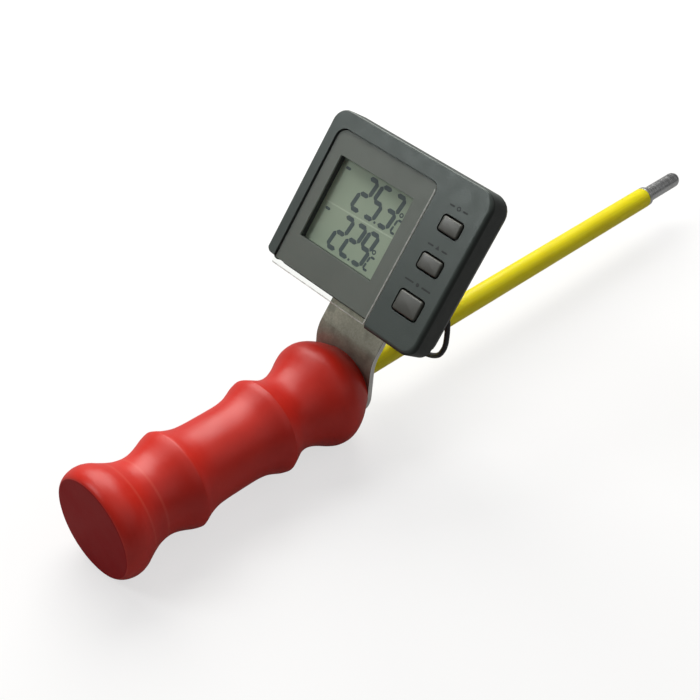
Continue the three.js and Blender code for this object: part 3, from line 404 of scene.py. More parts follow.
class Finish:
    """A material with its Principled shader, object coordinates and a few shorthand calls."""

    def __init__(self, name, colour, roughness, **constants):
        self.material = bpy.data.materials.new(name)
        self.material.use_nodes = True
        self.tree = self.material.node_tree
        self.shader = self.tree.nodes["Principled BSDF"]
        self.place = self.tree.nodes.new("ShaderNodeTexCoord").outputs["Object"]
        self.shader.inputs["Base Color"].default_value = (*colour, 1)
        self.shader.inputs["Roughness"].default_value = roughness
        for label, value in constants.items():
            self.shader.inputs[label.replace("_", " ")].default_value = value
        self.colour = None

    def group(self, tree, **values):
        """A group node fed with object coordinates."""
        node = self.tree.nodes.new("ShaderNodeGroup")
        node.node_tree = tree
        self.tree.links.new(self.place, node.inputs["Vector"])
        for label, value in values.items():
            node.inputs[label.replace("_", " ")].default_value = value
        return node.outputs[0]

    def noise(self, scale, detail=3.0, roughness=0.5, stretch=None):
        """Noise over the piece. A small number in stretch draws it out along that axis."""
        vector = self.place
        if stretch is not None:
            mapping = self.tree.nodes.new("ShaderNodeMapping")
            mapping.inputs["Scale"].default_value = stretch
            self.tree.links.new(vector, mapping.inputs["Vector"])
            vector = mapping.outputs[0]
        return noise_node(self.tree, vector, scale, detail, roughness)

    def mask(self, value, low, high, to_low=0.0, to_high=1.0):
        """Goes smoothly from 0 where a value is low to 1 where it is high, or between two other numbers."""
        return range_node(self.tree, value, low, high, to_low, to_high)

    def patches(self, scale, low, high, detail=3.0):
        """A mask of soft patches, cut from noise at two levels."""
        return self.mask(self.noise(scale, detail), low, high)

    def along(self, axis):
        """How far a point lies along X, Y or Z."""
        node = self.tree.nodes.new("ShaderNodeSeparateXYZ")
        self.tree.links.new(self.place, node.inputs[0])
        return node.outputs[axis]

    def facing(self, direction):
        """How squarely a face looks along a direction: 1 where it does, 0 at a right angle to it."""
        node = self.tree.nodes.new("ShaderNodeVectorMath")
        node.operation = "DOT_PRODUCT"
        node.inputs[1].default_value = direction
        self.tree.links.new(self.tree.nodes.new("ShaderNodeTexCoord").outputs["Normal"], node.inputs[0])
        return node.outputs["Value"]

    def blend(self, amount, other, strength=1.0):
        """Mixes another colour over the present one where a mask is high."""
        node = self.tree.nodes.new("ShaderNodeMix")
        node.data_type = "RGBA"
        feed(self.tree, math_node(self.tree, "MULTIPLY", amount, strength), node.inputs["Factor"])
        if self.colour is None:
            node.inputs["A"].default_value = self.shader.inputs["Base Color"].default_value
        else:
            self.tree.links.new(self.colour, node.inputs["A"])
        node.inputs["B"].default_value = (*other, 1)
        self.colour = node.outputs["Result"]
        self.tree.links.new(self.colour, self.shader.inputs["Base Color"])

    def dim_gloss(self, amount, plain, least):
        """Takes the strength of reflections from plain down to least where a mask is high."""
        level = math_node(self.tree, "MULTIPLY_ADD", amount, least - plain, plain)
        self.tree.links.new(level, self.shader.inputs["Specular IOR Level"])

    def vary_roughness(self, value, low, high):
        """Roughness between two limits as a value goes from 0.25 to 0.75."""
        self.tree.links.new(self.mask(value, 0.25, 0.75, low, high), self.shader.inputs["Roughness"])

    def bump(self, height, distance, strength=1.0):
        """Adds a Bump node under those already there."""
        node = self.tree.nodes.new("ShaderNodeBump")
        node.inputs["Strength"].default_value = strength
        node.inputs["Distance"].default_value = distance
        self.tree.links.new(height, node.inputs["Height"])
        target = self.shader.inputs["Normal"]
        while target.is_linked:
            target = target.links[0].from_node.inputs["Normal"]
        self.tree.links.new(node.outputs["Normal"], target)


# %% [markdown]
# ### Red paint
#
# The handle is turned wood under a satin red paint. Faint turning lines run round it, which is noise drawn
# out across the axis, and the paint has a little orange peel. Two fine paler lines near the butt are a mask
# on the distance along X. The butt face gets painted shade, darker and duller, from a mask of how squarely
# a face looks back, so the mesh needs no second material.

# %% Red paint
PALE_LINE_STATIONS = (10.8, 17.2)
LINE_CORE = 0.1
LINE_FADE = 0.7

red = Finish("red_paint", (0.60, 0.021, 0.010), 0.4)
red.blend(red.patches(45, 0.35, 0.7), (0.54, 0.016, 0.008), 0.7)
red.blend(red.group(EDGES, Radius=0.8 * MM, Patch_Size=6 * MM), (0.64, 0.07, 0.045), 0.45)
red.blend(red.group(MARKS, Size=20 * MM), (0.47, 0.014, 0.009), 0.35)
# Two fine paler rings at given distances along X.
for station in PALE_LINE_STATIONS:
    off_line = math_node(red.tree, "ABSOLUTE", math_node(red.tree, "SUBTRACT", red.along("X"), station * MM))
    red.blend(red.mask(off_line, LINE_CORE * MM, LINE_FADE * MM, 1, 0), (0.66, 0.10, 0.07), 0.3)
# Painted shade: the butt face, which looks away from the lamps, is made darker and less glossy.
painted_butt_shade = red.mask(red.facing((-1, 0, 0)), 0.9, 0.98)
red.blend(painted_butt_shade, (0.30, 0.012, 0.014), 0.9)
red.dim_gloss(painted_butt_shade, plain=0.4, least=0.05)
red.vary_roughness(red.noise(120, detail=4.0), 0.34, 0.46)
red.bump(red.noise(1400, stretch=(1, 0.02, 0.02)), 0.06 * MM, 0.25)
red.bump(red.noise(900, detail=2.0), 0.05 * MM, 0.35)
print("red paint:", len(red.tree.nodes), "nodes")

# %% [markdown]
# ### Yellow tube
#
# The tube is plastic that is yellow all through. Light goes a little way into it, which Subsurface imitates,
# so its shadow side stays warm. Drawing lines run along it, so this noise is drawn out along X.

# %% Yellow tube
yellow = Finish("yellow_tube", (0.80, 0.67, 0.012), 0.33, Subsurface_Weight=0.6, Subsurface_Scale=5 * MM,
                Subsurface_Radius=(1, 0.8, 0.1), Specular_IOR_Level=0.2)
lines = yellow.noise(2600, stretch=(0.02, 1, 1))
yellow.blend(yellow.mask(lines, 0.4, 0.65), (0.71, 0.58, 0.009), 0.5)
yellow.blend(yellow.group(MARKS, Size=18 * MM), (0.62, 0.50, 0.012), 0.3)
yellow.vary_roughness(yellow.noise(160, detail=4.0), 0.27, 0.42)
yellow.bump(lines, 0.03 * MM, 0.3)
print("yellow tube:", len(yellow.tree.nodes), "nodes")

# %% [markdown]
# ### Steel
#
# The strip is plain steel with a mottled mill surface, so the mottling is in its colour and Metallic is low.
# Painted shade, with a painted reddish reflection of the handle, makes it darker and browner down towards
# the handle, and it is bright where it was cut. The tip, the screws and the button cell are bright all
# over, with fine brushing round their axis.

# %% Strip steel
SHADE_STARTS_AT = 24
SHADE_FULL_AT = 8

steel = Finish("mottled_steel", (0.48, 0.485, 0.37), 0.45, Metallic=0.35)
speckle = steel.noise(1500, roughness=0.65)
steel.blend(steel.mask(speckle, 0.38, 0.62), (0.64, 0.65, 0.52), 0.8)
steel.blend(steel.patches(260, 0.45, 0.7, detail=4.0), (0.30, 0.31, 0.24), 0.75)
steel.blend(steel.group(MARKS, Size=12 * MM), (0.22, 0.21, 0.16), 0.4)
# Painted shade and a painted reflection of the red handle: darker and browner low on the strip.
painted_low_shade = steel.mask(steel.along("Z"), SHADE_FULL_AT * MM, SHADE_STARTS_AT * MM, 1, 0)
steel.blend(painted_low_shade, (0.16, 0.13, 0.11), 0.65)
cut_face = steel.mask(math_node(steel.tree, "ABSOLUTE", steel.facing((0, 1, 0))), 0.6, 0.9)
steel.blend(cut_face, (0.80, 0.80, 0.78), 0.9)
steel.vary_roughness(speckle, 0.34, 0.52)
steel.bump(speckle, 0.08 * MM, 0.35)
print("strip steel:", len(steel.tree.nodes), "nodes")

# %% Bright steel
bright = Finish("bright_steel", (0.66, 0.67, 0.68), 0.26, Metallic=1.0)
brushed = bright.noise(5200, detail=2.0, stretch=(1, 0.03, 0.03))
bright.blend(bright.group(MARKS, Size=6 * MM), (0.50, 0.50, 0.49), 0.5)
bright.vary_roughness(brushed, 0.2, 0.36)
bright.bump(brushed, 0.01 * MM, 0.12)
print("bright steel:", len(bright.tree.nodes), "nodes")

# %% [markdown]
# ### The case's plastics
#
# Moulded plastic gets its look from the mould: a fine spark-eroded grain, slightly darker where fingers
# have rubbed it, and lighter along worn edges. The front shell is a grey-green, the rear shell nearly black,
# the keys a warmer, pearly grey.

# %% Moulded plastics
RUBBED_SHARE = 0.85


def moulded(name, colour, worn, roughness, grain_size, grain_strength=0.3, **constants):
    """A moulded plastic with spark-eroded grain, rubbed patches and lighter worn edges."""
    plastic = Finish(name, colour, roughness, **constants)
    rubbed = tuple(c * RUBBED_SHARE for c in colour)
    plastic.blend(plastic.group(MARKS, Size=20 * MM), rubbed, 0.5)
    plastic.blend(plastic.group(EDGES, Radius=0.3 * MM, Patch_Size=5 * MM), worn, 0.4)
    plastic.vary_roughness(plastic.noise(220, detail=4.0), roughness - 0.05, roughness + 0.06)
    plastic.bump(plastic.group(GRAIN, Size=grain_size * MM), 0.04 * MM, grain_strength)
    return plastic


case_grey = moulded("case_grey_green", (0.056, 0.069, 0.063), (0.17, 0.19, 0.18), 0.38, 0.35,
                    Specular_Tint=(0.93, 1.0, 0.97, 1))
rear_black = moulded("rear_charcoal", (0.032, 0.036, 0.036), (0.08, 0.085, 0.085), 0.5, 0.35)
key_grey = moulded("key_pearl_grey", (0.085, 0.087, 0.076), (0.27, 0.27, 0.25), 0.36, 0.22,
                   Metallic=0.15, Coat_Weight=0.15, Coat_Roughness=0.3)
black = moulded("black_plastic", (0.016, 0.016, 0.017), (0.05, 0.05, 0.05), 0.5, 0.3)
rubber = moulded("soft_rubber", (0.014, 0.014, 0.014), (0.03, 0.03, 0.03), 0.68, 0.2)
jacket = moulded("lead_jacket", (0.010, 0.010, 0.011), (0.03, 0.03, 0.03), 0.38, 0.25)
panel = moulded("window_print", (0.185, 0.197, 0.18), (0.20, 0.21, 0.19), 0.40, 0.2, 0.1)
print("finishes so far:", len(bpy.data.materials))

# %% [markdown]
# The front shell's right and lower sides are nearly black in the picture, darker than any one lamp makes
# them. So their shade is painted: a mask of how squarely a face looks right or down darkens the colour there
# and takes gloss away.

# %% Painted shade on the case's sides
looks_right = case_grey.facing(DISPLAY_RIGHT)
looks_down = case_grey.facing(-DISPLAY_UP)
# Painted shade: the sides that face right or down get a near-black colour and less gloss.
painted_side_shade = case_grey.mask(math_node(case_grey.tree, "MAXIMUM", looks_right, looks_down), 0.15, 0.85)
case_grey.blend(painted_side_shade, (0.018, 0.020, 0.019), 0.85)
case_grey.dim_gloss(painted_side_shade, plain=0.65, least=0.25)
print("case plastic:", len(case_grey.tree.nodes), "nodes")

# %% [markdown]
# ### Window
#
# The window is a clear plate. Real refraction through a plate lit by small lamps is slow and noisy, so the
# plate is a mix: see-through, with a polished gloss that a Fresnel node lays over it, stronger at a glance.
# Only its outer side gets the gloss, or each ray would be mirrored twice. Its bevelled right and lower rim
# gets a painted highlight.

# %% Clear plate
PLATE_INDEX = 1.49

clear = Finish("clear_plate", (0.02, 0.02, 0.02), 0.04, IOR=PLATE_INDEX)
see_through = clear.tree.nodes.new("ShaderNodeBsdfTransparent")
see_through.inputs["Color"].default_value = (0.97, 0.98, 0.97, 1)
glance = clear.tree.nodes.new("ShaderNodeFresnel")
glance.inputs["IOR"].default_value = PLATE_INDEX
gloss = clear.tree.nodes.new("ShaderNodeBsdfGlossy")
gloss.inputs["Roughness"].default_value = 0.05
inner_side = clear.tree.nodes.new("ShaderNodeNewGeometry").outputs["Backfacing"]
outer_side = math_node(clear.tree, "SUBTRACT", 1, inner_side)
outer_gloss = math_node(clear.tree, "MULTIPLY", glance.outputs[0], outer_side)


def mix_surface(finish, amount, first, second):
    """Makes a finish's surface a mix of two shaders."""
    mix = finish.tree.nodes.new("ShaderNodeMixShader")
    for value, socket in zip((amount, first.outputs[0], second.outputs[0]), mix.inputs):
        feed(finish.tree, value, socket)
    finish.tree.links.new(mix.outputs[0], finish.tree.nodes["Material Output"].inputs["Surface"])


mix_surface(clear, outer_gloss, see_through, gloss)
print("clear plate:", len(clear.tree.nodes), "nodes")

# %% Painted highlight on the rim
highlighted = Finish("painted_rim_highlight", (0.62, 0.62, 0.58), 0.3)
# Painted highlight: a pale finish, half see-through in noisy patches, where the rim catches the light.
highlight_share = highlighted.mask(highlighted.noise(700), 0.3, 0.7, 0.45, 0.85)
mix_surface(highlighted, highlight_share, highlighted.tree.nodes.new("ShaderNodeBsdfTransparent"), highlighted.shader)
print("frosted rim:", len(highlighted.tree.nodes), "nodes")

# %% [markdown]
# ### Display, marks and hidden pieces
#
# The LCD is a grey-green reflector with a faint unevenness, and its segments are a dark blue-grey film. The
# board under it is green lacquer over copper, whose tracks show as paler patches, and the battery's contact
# is plated spring metal.

# %% Display and printed marks
lcd = Finish("lcd_reflector", (0.47, 0.55, 0.43), 0.45, Specular_IOR_Level=0.35)
lcd.blend(lcd.patches(60, 0.3, 0.7, detail=2.0), (0.42, 0.50, 0.39), 0.8)
lcd.blend(lcd.patches(4200, 0.4, 0.6, detail=1.0), (0.51, 0.58, 0.47), 0.3)
lcd.bump(lcd.noise(3500, detail=1.0), 0.02 * MM, 0.2)
ink = Finish("lcd_segments", (0.088, 0.115, 0.128), 0.5)
ink.blend(ink.patches(500, 0.35, 0.7, detail=2.0), (0.115, 0.148, 0.148), 0.8)
light_line = Finish("lcd_divider", (0.60, 0.68, 0.56), 0.5)
light_line.blend(light_line.patches(900, 0.35, 0.7, detail=2.0), (0.54, 0.62, 0.50), 0.8)
print_ink = Finish("printed_marks", (0.022, 0.026, 0.026), 0.6)
print_ink.blend(print_ink.patches(2500, 0.4, 0.65), (0.04, 0.045, 0.045), 0.8)

# %% Board and contact
board = Finish("green_board", (0.025, 0.11, 0.045), 0.35, Coat_Weight=0.3)
board.blend(board.patches(300, 0.5, 0.56, detail=4.0), (0.05, 0.17, 0.07), 0.8)
board.bump(board.noise(800), 0.05 * MM, 0.3)
brass = Finish("plated_spring", (0.62, 0.50, 0.24), 0.28, Metallic=1.0)
brass.blend(brass.group(MARKS, Size=3 * MM), (0.42, 0.33, 0.16), 0.5)
brass.vary_roughness(brass.noise(900), 0.22, 0.4)
print("finishes:", len(bpy.data.materials))

# %% [markdown]
# ## Making pieces
#
# A bmesh is Blender's mesh while it is being edited. Each piece below starts from a simple shape, is cut and
# bevelled, and ends as an object at the origin with its place in its mesh. Sizes are in millimetres while a
# piece is made, and one matrix turns them into metres in the right place.
#
# Smooth shading blends the normals of faces that meet, and that can bend the light on a large flat face. A
# Weighted Normal modifier gives way to the large faces, so they stay flat and only the rounding is blended.

# %% Tools for objects
SMOOTH_ANGLE = math.radians(35)
SAME_AREA = 10 * MM * MM


def smooth(mesh):
    """Shades a mesh smooth, but sharp where faces meet at more than SMOOTH_ANGLE."""
    mesh.shade_smooth()
    mesh.set_sharp_from_angle(angle=SMOOTH_ANGLE)


def new_object(name, bm, place=None):
    """Turns a bmesh into a smooth-shaded object."""
    if place is not None:
        bmesh.ops.transform(bm, matrix=place, verts=bm.verts)
    mesh = bpy.data.meshes.new(name)
    bm.to_mesh(mesh)
    bm.free()
    smooth(mesh)
    obj = bpy.data.objects.new(name, mesh)
    bpy.context.scene.collection.objects.link(obj)
    return obj


def flatten_shading(obj):
    """Lets large flat faces keep their own normals, so that only the narrow ones are blended."""
    weighted = obj.modifiers.new("flat_faces", "WEIGHTED_NORMAL")
    weighted.keep_sharp = True
    weighted.weight = 100
    weighted.thresh = SAME_AREA
    return obj


def dress(obj, finish, body=ROOT, instead_of=()):
    """Gives a piece its finish and body, and hides the solids that it stands for."""
    obj.data.materials.clear()
    obj.data.materials.append(finish.material)
    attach(obj, body)
    if instead_of:
        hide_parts(*instead_of)
    return obj


# %% [markdown]
# Three shapes start nearly every piece: a box with round upright edges, a round bar, and a profile spun
# round an axis as on a lathe.

# %% Tools for simple shapes
NEAR = 1e-4


def block(x0, x1, y0, y1, z0, z1, radii=(0, 0, 0, 0), segments=8):
    """A box with its own radius on each upright edge: lower left, lower right, upper right, upper left."""
    bm = bmesh.new()
    bmesh.ops.create_cube(bm, size=1)
    bmesh.ops.scale(bm, verts=bm.verts, vec=(x1 - x0, y1 - y0, z1 - z0))
    bmesh.ops.translate(bm, verts=bm.verts, vec=((x0 + x1) / 2, (y0 + y1) / 2, (z0 + z1) / 2))
    corners = ((x0, y0), (x1, y0), (x1, y1), (x0, y1))
    for (x, y), radius in zip(corners, radii):
        if radius:
            upright = [e for e in bm.edges if all((v.co.xy - Vector((x, y))).length < NEAR for v in e.verts)]
            bmesh.ops.bevel(bm, geom=upright, offset=radius, segments=segments, affect="EDGES", profile=0.5,
                            material=-1)
    return bm


def rod(x, y, radius, z0, z1, sides=32):
    """A round bar along z."""
    bm = bmesh.new()
    bmesh.ops.create_cone(bm, cap_ends=True, segments=sides, radius1=radius, radius2=radius, depth=z1 - z0)
    bmesh.ops.translate(bm, verts=bm.verts, vec=(x, y, (z0 + z1) / 2))
    return bm


def turned(profile, steps):
    """Spins a line of (distance along X, radius) round the X axis into a closed skin."""
    bm = bmesh.new()
    verts = [bm.verts.new((along, radius, 0)) for along, radius in profile]
    edges = [bm.edges.new(pair) for pair in zip(verts, verts[1:])]
    bmesh.ops.spin(bm, geom=verts + edges, cent=(0, 0, 0), axis=(1, 0, 0), angle=2 * math.pi, steps=steps,
                   use_merge=True)
    bmesh.ops.remove_doubles(bm, verts=bm.verts, dist=NEAR)
    bmesh.ops.recalc_face_normals(bm, faces=bm.faces)
    return bm


# %% [markdown]
# A Boolean modifier cuts one piece with another. Its result is read back as a plain mesh at once, so that the
# next cut or a bevel can follow.

# %% Tool for cutting


def evaluate(obj):
    """Replaces a piece's mesh with what its modifiers make of it, and takes the modifiers away."""
    depsgraph = bpy.context.evaluated_depsgraph_get()
    result = bpy.data.meshes.new_from_object(obj.evaluated_get(depsgraph))
    obj.modifiers.clear()
    before = obj.data
    obj.data = result
    bpy.data.meshes.remove(before)


def carve(obj, cutter_bm, operation="DIFFERENCE"):
    """Cuts one piece with another, or joins them."""
    cutter_mesh = bpy.data.meshes.new("cutter")
    cutter_bm.to_mesh(cutter_mesh)
    cutter_bm.free()
    cutter = bpy.data.objects.new("cutter", cutter_mesh)
    bpy.context.scene.collection.objects.link(cutter)
    modifier = obj.modifiers.new("carve", "BOOLEAN")
    modifier.operation = operation
    modifier.solver = "EXACT"
    modifier.object = cutter
    evaluate(obj)
    bpy.data.objects.remove(cutter)
    bpy.data.meshes.remove(cutter_mesh)


# %% [markdown]
# No real edge is quite sharp, and a narrow rounding catches the light. A bevel that may not overlap is never
# wider than the shortest edge that it meets, so one stray short edge would shrink every rounding to nothing.
# Short edges are merged first for that reason. Where only the edges on the outside show, only those above a
# height are rounded, and the inside keeps its plain edges.

# %% Tools for softened edges
SHARP_ANGLE = 50
FLAT_ANGLE = 0.5
SHORT_SHARE = 0.3


def soften(bm, width, angle=SHARP_ANGLE, segments=2, above=None):
    """Rounds off the sharp edges of a mesh by a small width, all of them or those above a height."""
    bmesh.ops.remove_doubles(bm, verts=bm.verts, dist=width * SHORT_SHARE)
    bmesh.ops.dissolve_limit(bm, angle_limit=math.radians(FLAT_ANGLE), verts=bm.verts, edges=bm.edges)
    sharp = [e for e in bm.edges if e.is_manifold and e.calc_face_angle(0) > math.radians(angle)]
    if above is not None:
        sharp = [e for e in sharp if min(v.co.z for v in e.verts) > above]
    bmesh.ops.bevel(bm, geom=sharp, offset=width, segments=segments, affect="EDGES", profile=0.5, material=-1,
                    clamp_overlap=above is None)
    bmesh.ops.dissolve_degenerate(bm, edges=bm.edges, dist=width * NEAR)


def finish_mesh(obj, width, place, angle=SHARP_ANGLE, segments=2, above=None):
    """Softens a carved piece, then moves it into place."""
    bm = bmesh.new()
    bm.from_mesh(obj.data)
    soften(bm, width, angle, segments, above)
    bmesh.ops.transform(bm, matrix=place, verts=bm.verts)
    bm.to_mesh(obj.data)
    bm.free()
    smooth(obj.data)
    return flatten_shading(obj)


def refined(node, name, width):
    """A copy of a solid with its doubles merged and its sharp edges softened."""
    bm = bmesh.new()
    bm.from_mesh(frame["nodes"][node].data)
    bmesh.ops.remove_doubles(bm, verts=bm.verts, dist=0.001 * MM)
    soften(bm, width * MM)
    return flatten_shading(new_object(name, bm))


# %% [markdown]
# ## Handle
#
# The handle was turned on a lathe, so a spun profile is the natural way to make it. The profile is a list of
# stations, and a smooth line is drawn through them. Some of the stations are the crests of the swellings and
# of the ridges between the finger grooves: the line breaks there, because the real crests are crisp. A
# station is a share of the handle's length and a share of its largest radius.

# %% Profile of the handle
HANDLE_LENGTH = 99
HANDLE_R = 18
STATION_SHARES = [
    (0.003, 0.915), (0.012, 0.953), (0.026, 0.984), (0.044, 1), (0.062, 0.992), (0.08, 0.958),
    (0.1, 0.898), (0.125, 0.83), (0.15, 0.775), (0.178, 0.742), (0.204, 0.737), (0.23, 0.762),
    (0.255, 0.808), (0.278, 0.86), (0.292, 0.885), (0.302, 0.897), (0.311, 0.878), (0.33, 0.828),
    (0.352, 0.785), (0.38, 0.748), (0.415, 0.732), (0.46, 0.728), (0.51, 0.727), (0.55, 0.732),
    (0.585, 0.76), (0.612, 0.81), (0.636, 0.866), (0.647, 0.884), (0.656, 0.896), (0.665, 0.874),
    (0.684, 0.82), (0.706, 0.76), (0.728, 0.727), (0.75, 0.72), (0.772, 0.738), (0.797, 0.784),
    (0.822, 0.85), (0.846, 0.925), (0.868, 0.98), (0.885, 0.998), (0.9, 1), (0.915, 0.984),
    (0.935, 0.94), (0.957, 0.873), (0.978, 0.79), (0.992, 0.725),
]
CREST_SHARES = (0.062, 0.302, 0.656, 0.9)
POINTS_BETWEEN = 4


def smooth_line(points, corners):
    """A line through points, curved between them, with a break at each corner."""
    line = []
    for i in range(len(points) - 1):
        b, c = Vector(points[i]), Vector(points[i + 1])
        a = b if i == 0 or points[i] in corners else Vector(points[i - 1])
        d = c if i + 2 == len(points) or points[i + 1] in corners else Vector(points[i + 2])
        for k in range(POINTS_BETWEEN):
            t = k / POINTS_BETWEEN
            line.append(0.5 * (2 * b + (c - a) * t + (2 * a - 5 * b + 4 * c - d) * t ** 2
                               + (3 * b - a - 3 * c + d) * t ** 3))
    return line + [Vector(points[-1])]


crests = [share for share in STATION_SHARES if share[0] in CREST_SHARES]
side = [(p.x * HANDLE_LENGTH, p.y * HANDLE_R) for p in smooth_line(STATION_SHARES, crests)]
print("profile:", len(side), "points")

# %% Spin and drill the handle
BUTT_FACE_R = 15.8
FRONT_FACE_R = 12.6
BORE_R = 4.3
BORE_FLOOR = 47
HANDLE_SIDES = 96
PILOT_R = 1.7
PILOT_DEPTH = 16.3
PILOT_Y = 8.3
RIM_WIDTH = 0.05
RIM_ANGLE = 60
OVERRUN = 1

profile = [(0, 0), (0, BUTT_FACE_R / 2), (0, BUTT_FACE_R), *side, (HANDLE_LENGTH, FRONT_FACE_R),
           (HANDLE_LENGTH, BORE_R), (BORE_FLOOR, BORE_R), (BORE_FLOOR, 0)]
handle = new_object("handle_turned", turned(profile, HANDLE_SIDES))
TO_X = Matrix.Rotation(math.pi / 2, 4, "Y")
for y in (PILOT_Y, -PILOT_Y):
    pilot = rod(0, 0, PILOT_R, HANDLE_LENGTH - PILOT_DEPTH, HANDLE_LENGTH + OVERRUN)
    bmesh.ops.transform(pilot, matrix=Matrix.Translation((0, y, 0)) @ TO_X, verts=pilot.verts)
    carve(handle, pilot)
finish_mesh(handle, RIM_WIDTH, WORLD, angle=RIM_ANGLE)
dress(handle, red, instead_of=["handle"])
print("handle:", len(handle.data.polygons), "faces")

# %% [markdown]
# ## Stem and sensing tip
#
# The stem is plain tube. Its profile is a closed rectangle with eased corners, spun into a pipe, and a
# slanted hole for the lead is cut in its side. The tip is a drawn steel cap with a collar and a round nose.

# %% Stem
STEM_START = 47.3
STEM_END = 268
STEM_BORE_R = 2.6
EASE = 0.2
STEM_SIDES = 64
SLEEVE_R = 1.6

stem_profile = [
    (STEM_START, STEM_BORE_R), (STEM_START, STEM_R - EASE), (STEM_START + EASE, STEM_R),
    (STEM_END - EASE, STEM_R), (STEM_END, STEM_R - EASE), (STEM_END, STEM_BORE_R), (STEM_START, STEM_BORE_R),
]
stem = new_object("stem_pipe", turned(stem_profile, STEM_SIDES))
hole = rod(0, 0, SLEEVE_R + GAP, 0, STEM_R)
start = stem_hole - lead_out * (STEM_R - STEM_BORE_R + SLEEVE_R + GAP)
turn = lead_out.to_track_quat("Z", "Y").to_matrix().to_4x4()
bmesh.ops.transform(hole, matrix=Matrix.Translation(start) @ turn, verts=hole.verts)
carve(stem, hole)
finish_mesh(stem, RIM_WIDTH, WORLD, angle=RIM_ANGLE)
dress(stem, yellow, instead_of=["stem_tube"])
print("stem:", len(stem.data.polygons), "faces")

# %% Sensing tip
TIP_R = 3
TIP_COLLAR_R = 3.9
TIP_COLLAR = 1.6
TIP_LENGTH = 23
TIP_SHANK_R = 2.25
TIP_SHANK = 12
TIP_BORE_R = 1.55
TIP_SIDES = 48
NOSE_STEPS = 12

tip_start = STEM_END + GAP
tip_end = tip_start + TIP_LENGTH
shank_end = STEM_END - TIP_SHANK
nose_angles = [math.pi / 2 * k / NOSE_STEPS for k in range(NOSE_STEPS)]
nose = [(tip_end - TIP_R + TIP_R * math.sin(a), TIP_R * math.cos(a)) for a in nose_angles]
tip_profile = [
    (shank_end, TIP_BORE_R), (shank_end, TIP_SHANK_R), (tip_start, TIP_SHANK_R),
    (tip_start, TIP_COLLAR_R - EASE), (tip_start + EASE, TIP_COLLAR_R),
    (tip_start + TIP_COLLAR - EASE, TIP_COLLAR_R), (tip_start + TIP_COLLAR, TIP_COLLAR_R - EASE),
    (tip_start + TIP_COLLAR, TIP_R), *nose, (tip_end, 0), (tip_end - TIP_BORE_R, 0),
    (tip_end - 2 * TIP_BORE_R, TIP_BORE_R), (shank_end, TIP_BORE_R),
]
tip = new_object("sensing_tip_steel", turned(tip_profile, TIP_SIDES), WORLD)
dress(tip, bright, instead_of=["sensing_tip"])
print("tip:", len(tip.data.polygons), "faces")

# %% [markdown]
# ## Strip
#
# The strip that joins the handle to the display is cut flat and then bent, and it is easiest to model the
# same way. Its lengths come from where it has to end: flat on the handle's front, and flat on the back of the
# case. The two planes meet in a line, and the bend rounds off that corner.

# %% Lengths of the strip
STRIP_T = 2
STRIP_LOW = 12.5
BEND_R = 10
BEND_ANGLE = math.pi / 2 - DISPLAY_TILT
CASE_DEPTH = 16
CASE_W = 66
CASE_H = 54.5
STRIP_REACH = 27.5

near_plane = CASE_DEPTH + GAP - DISPLAY_CENTRE.dot(DISPLAY_NORMAL)
apex = (HANDLE_LENGTH * math.sin(DISPLAY_TILT) - near_plane) / math.cos(DISPLAY_TILT)
corner_taken = (BEND_R + STRIP_T) * math.tan(BEND_ANGLE / 2)
bend_start = STRIP_LOW + apex - corner_taken
bend_length = (BEND_R + STRIP_T / 2) * BEND_ANGLE
strip_top = STRIP_REACH - CASE_H / 2
upper_leg = (DISPLAY_CENTRE.dot(DISPLAY_UP) + strip_top
             - Vector((HANDLE_LENGTH, 0, apex)).dot(DISPLAY_UP) - corner_taken)
strip_length = bend_start + bend_length + upper_leg
print("blank is", round(strip_length, 1), "mm long, bent by", round(math.degrees(BEND_ANGLE)), "degrees")

# %% [markdown]
# The flat blank gets its round end and its holes first: one for the stem, two for the wood screws and two for
# the screws into the case.

# %% Flat blank
STRIP_W = 25
STRIP_TOP_R = 4
STRIP_SCREW_R = 1.6
STRIP_SCREW_SHARES = (0.264, 0.773)
CORNER_SPARE = 0.02

half = STRIP_W / 2
round_end = half - CORNER_SPARE
blank = new_object("bent_strip", block(0, strip_length, -half, half, 0, STRIP_T,
                                       (round_end, STRIP_TOP_R, STRIP_TOP_R, round_end), segments=14))
holes = [(STRIP_LOW, 0, BORE_R), (STRIP_LOW, PILOT_Y, PILOT_R), (STRIP_LOW, -PILOT_Y, PILOT_R)]
holes += [(strip_length - (1 - share) * STRIP_REACH, 0, STRIP_SCREW_R) for share in STRIP_SCREW_SHARES]
for x, y, radius in holes:
    carve(blank, rod(x, y, radius, -OVERRUN, STRIP_T + OVERRUN))
print("holes at", [round(x, 1) for x, y, radius in holes], "mm along the blank")

# %% [markdown]
# Its edges are softened while it is flat. Then cross cuts are put in where it bends, and each point is moved
# to its place along the bend.

# %% Bend it
BEND_CUTS = 14
STRIP_EDGE = 0.22

bm = bmesh.new()
bm.from_mesh(blank.data)
soften(bm, STRIP_EDGE)
for k in range(BEND_CUTS + 1):
    x = bend_start + bend_length * k / BEND_CUTS
    bmesh.ops.bisect_plane(bm, geom=bm.verts[:] + bm.edges[:] + bm.faces[:], plane_co=(x, 0, 0),
                           plane_no=(1, 0, 0))


def bent(point):
    """Where a point of the flat blank lies once the strip is bent: z is its depth from the near face."""
    along, across, depth = point
    turn_so_far = BEND_ANGLE * min(max((along - bend_start) / bend_length, 0), 1)
    rise = min(along, bend_start) - STRIP_LOW
    spare = max(along - bend_start - bend_length, 0)
    radius = BEND_R + STRIP_T - depth
    centre_x = HANDLE_LENGTH + BEND_R + STRIP_T
    x = centre_x - radius * math.cos(turn_so_far) + spare * math.sin(turn_so_far)
    z = rise + radius * math.sin(turn_so_far) + spare * math.cos(turn_so_far)
    return Vector((x, across, z))


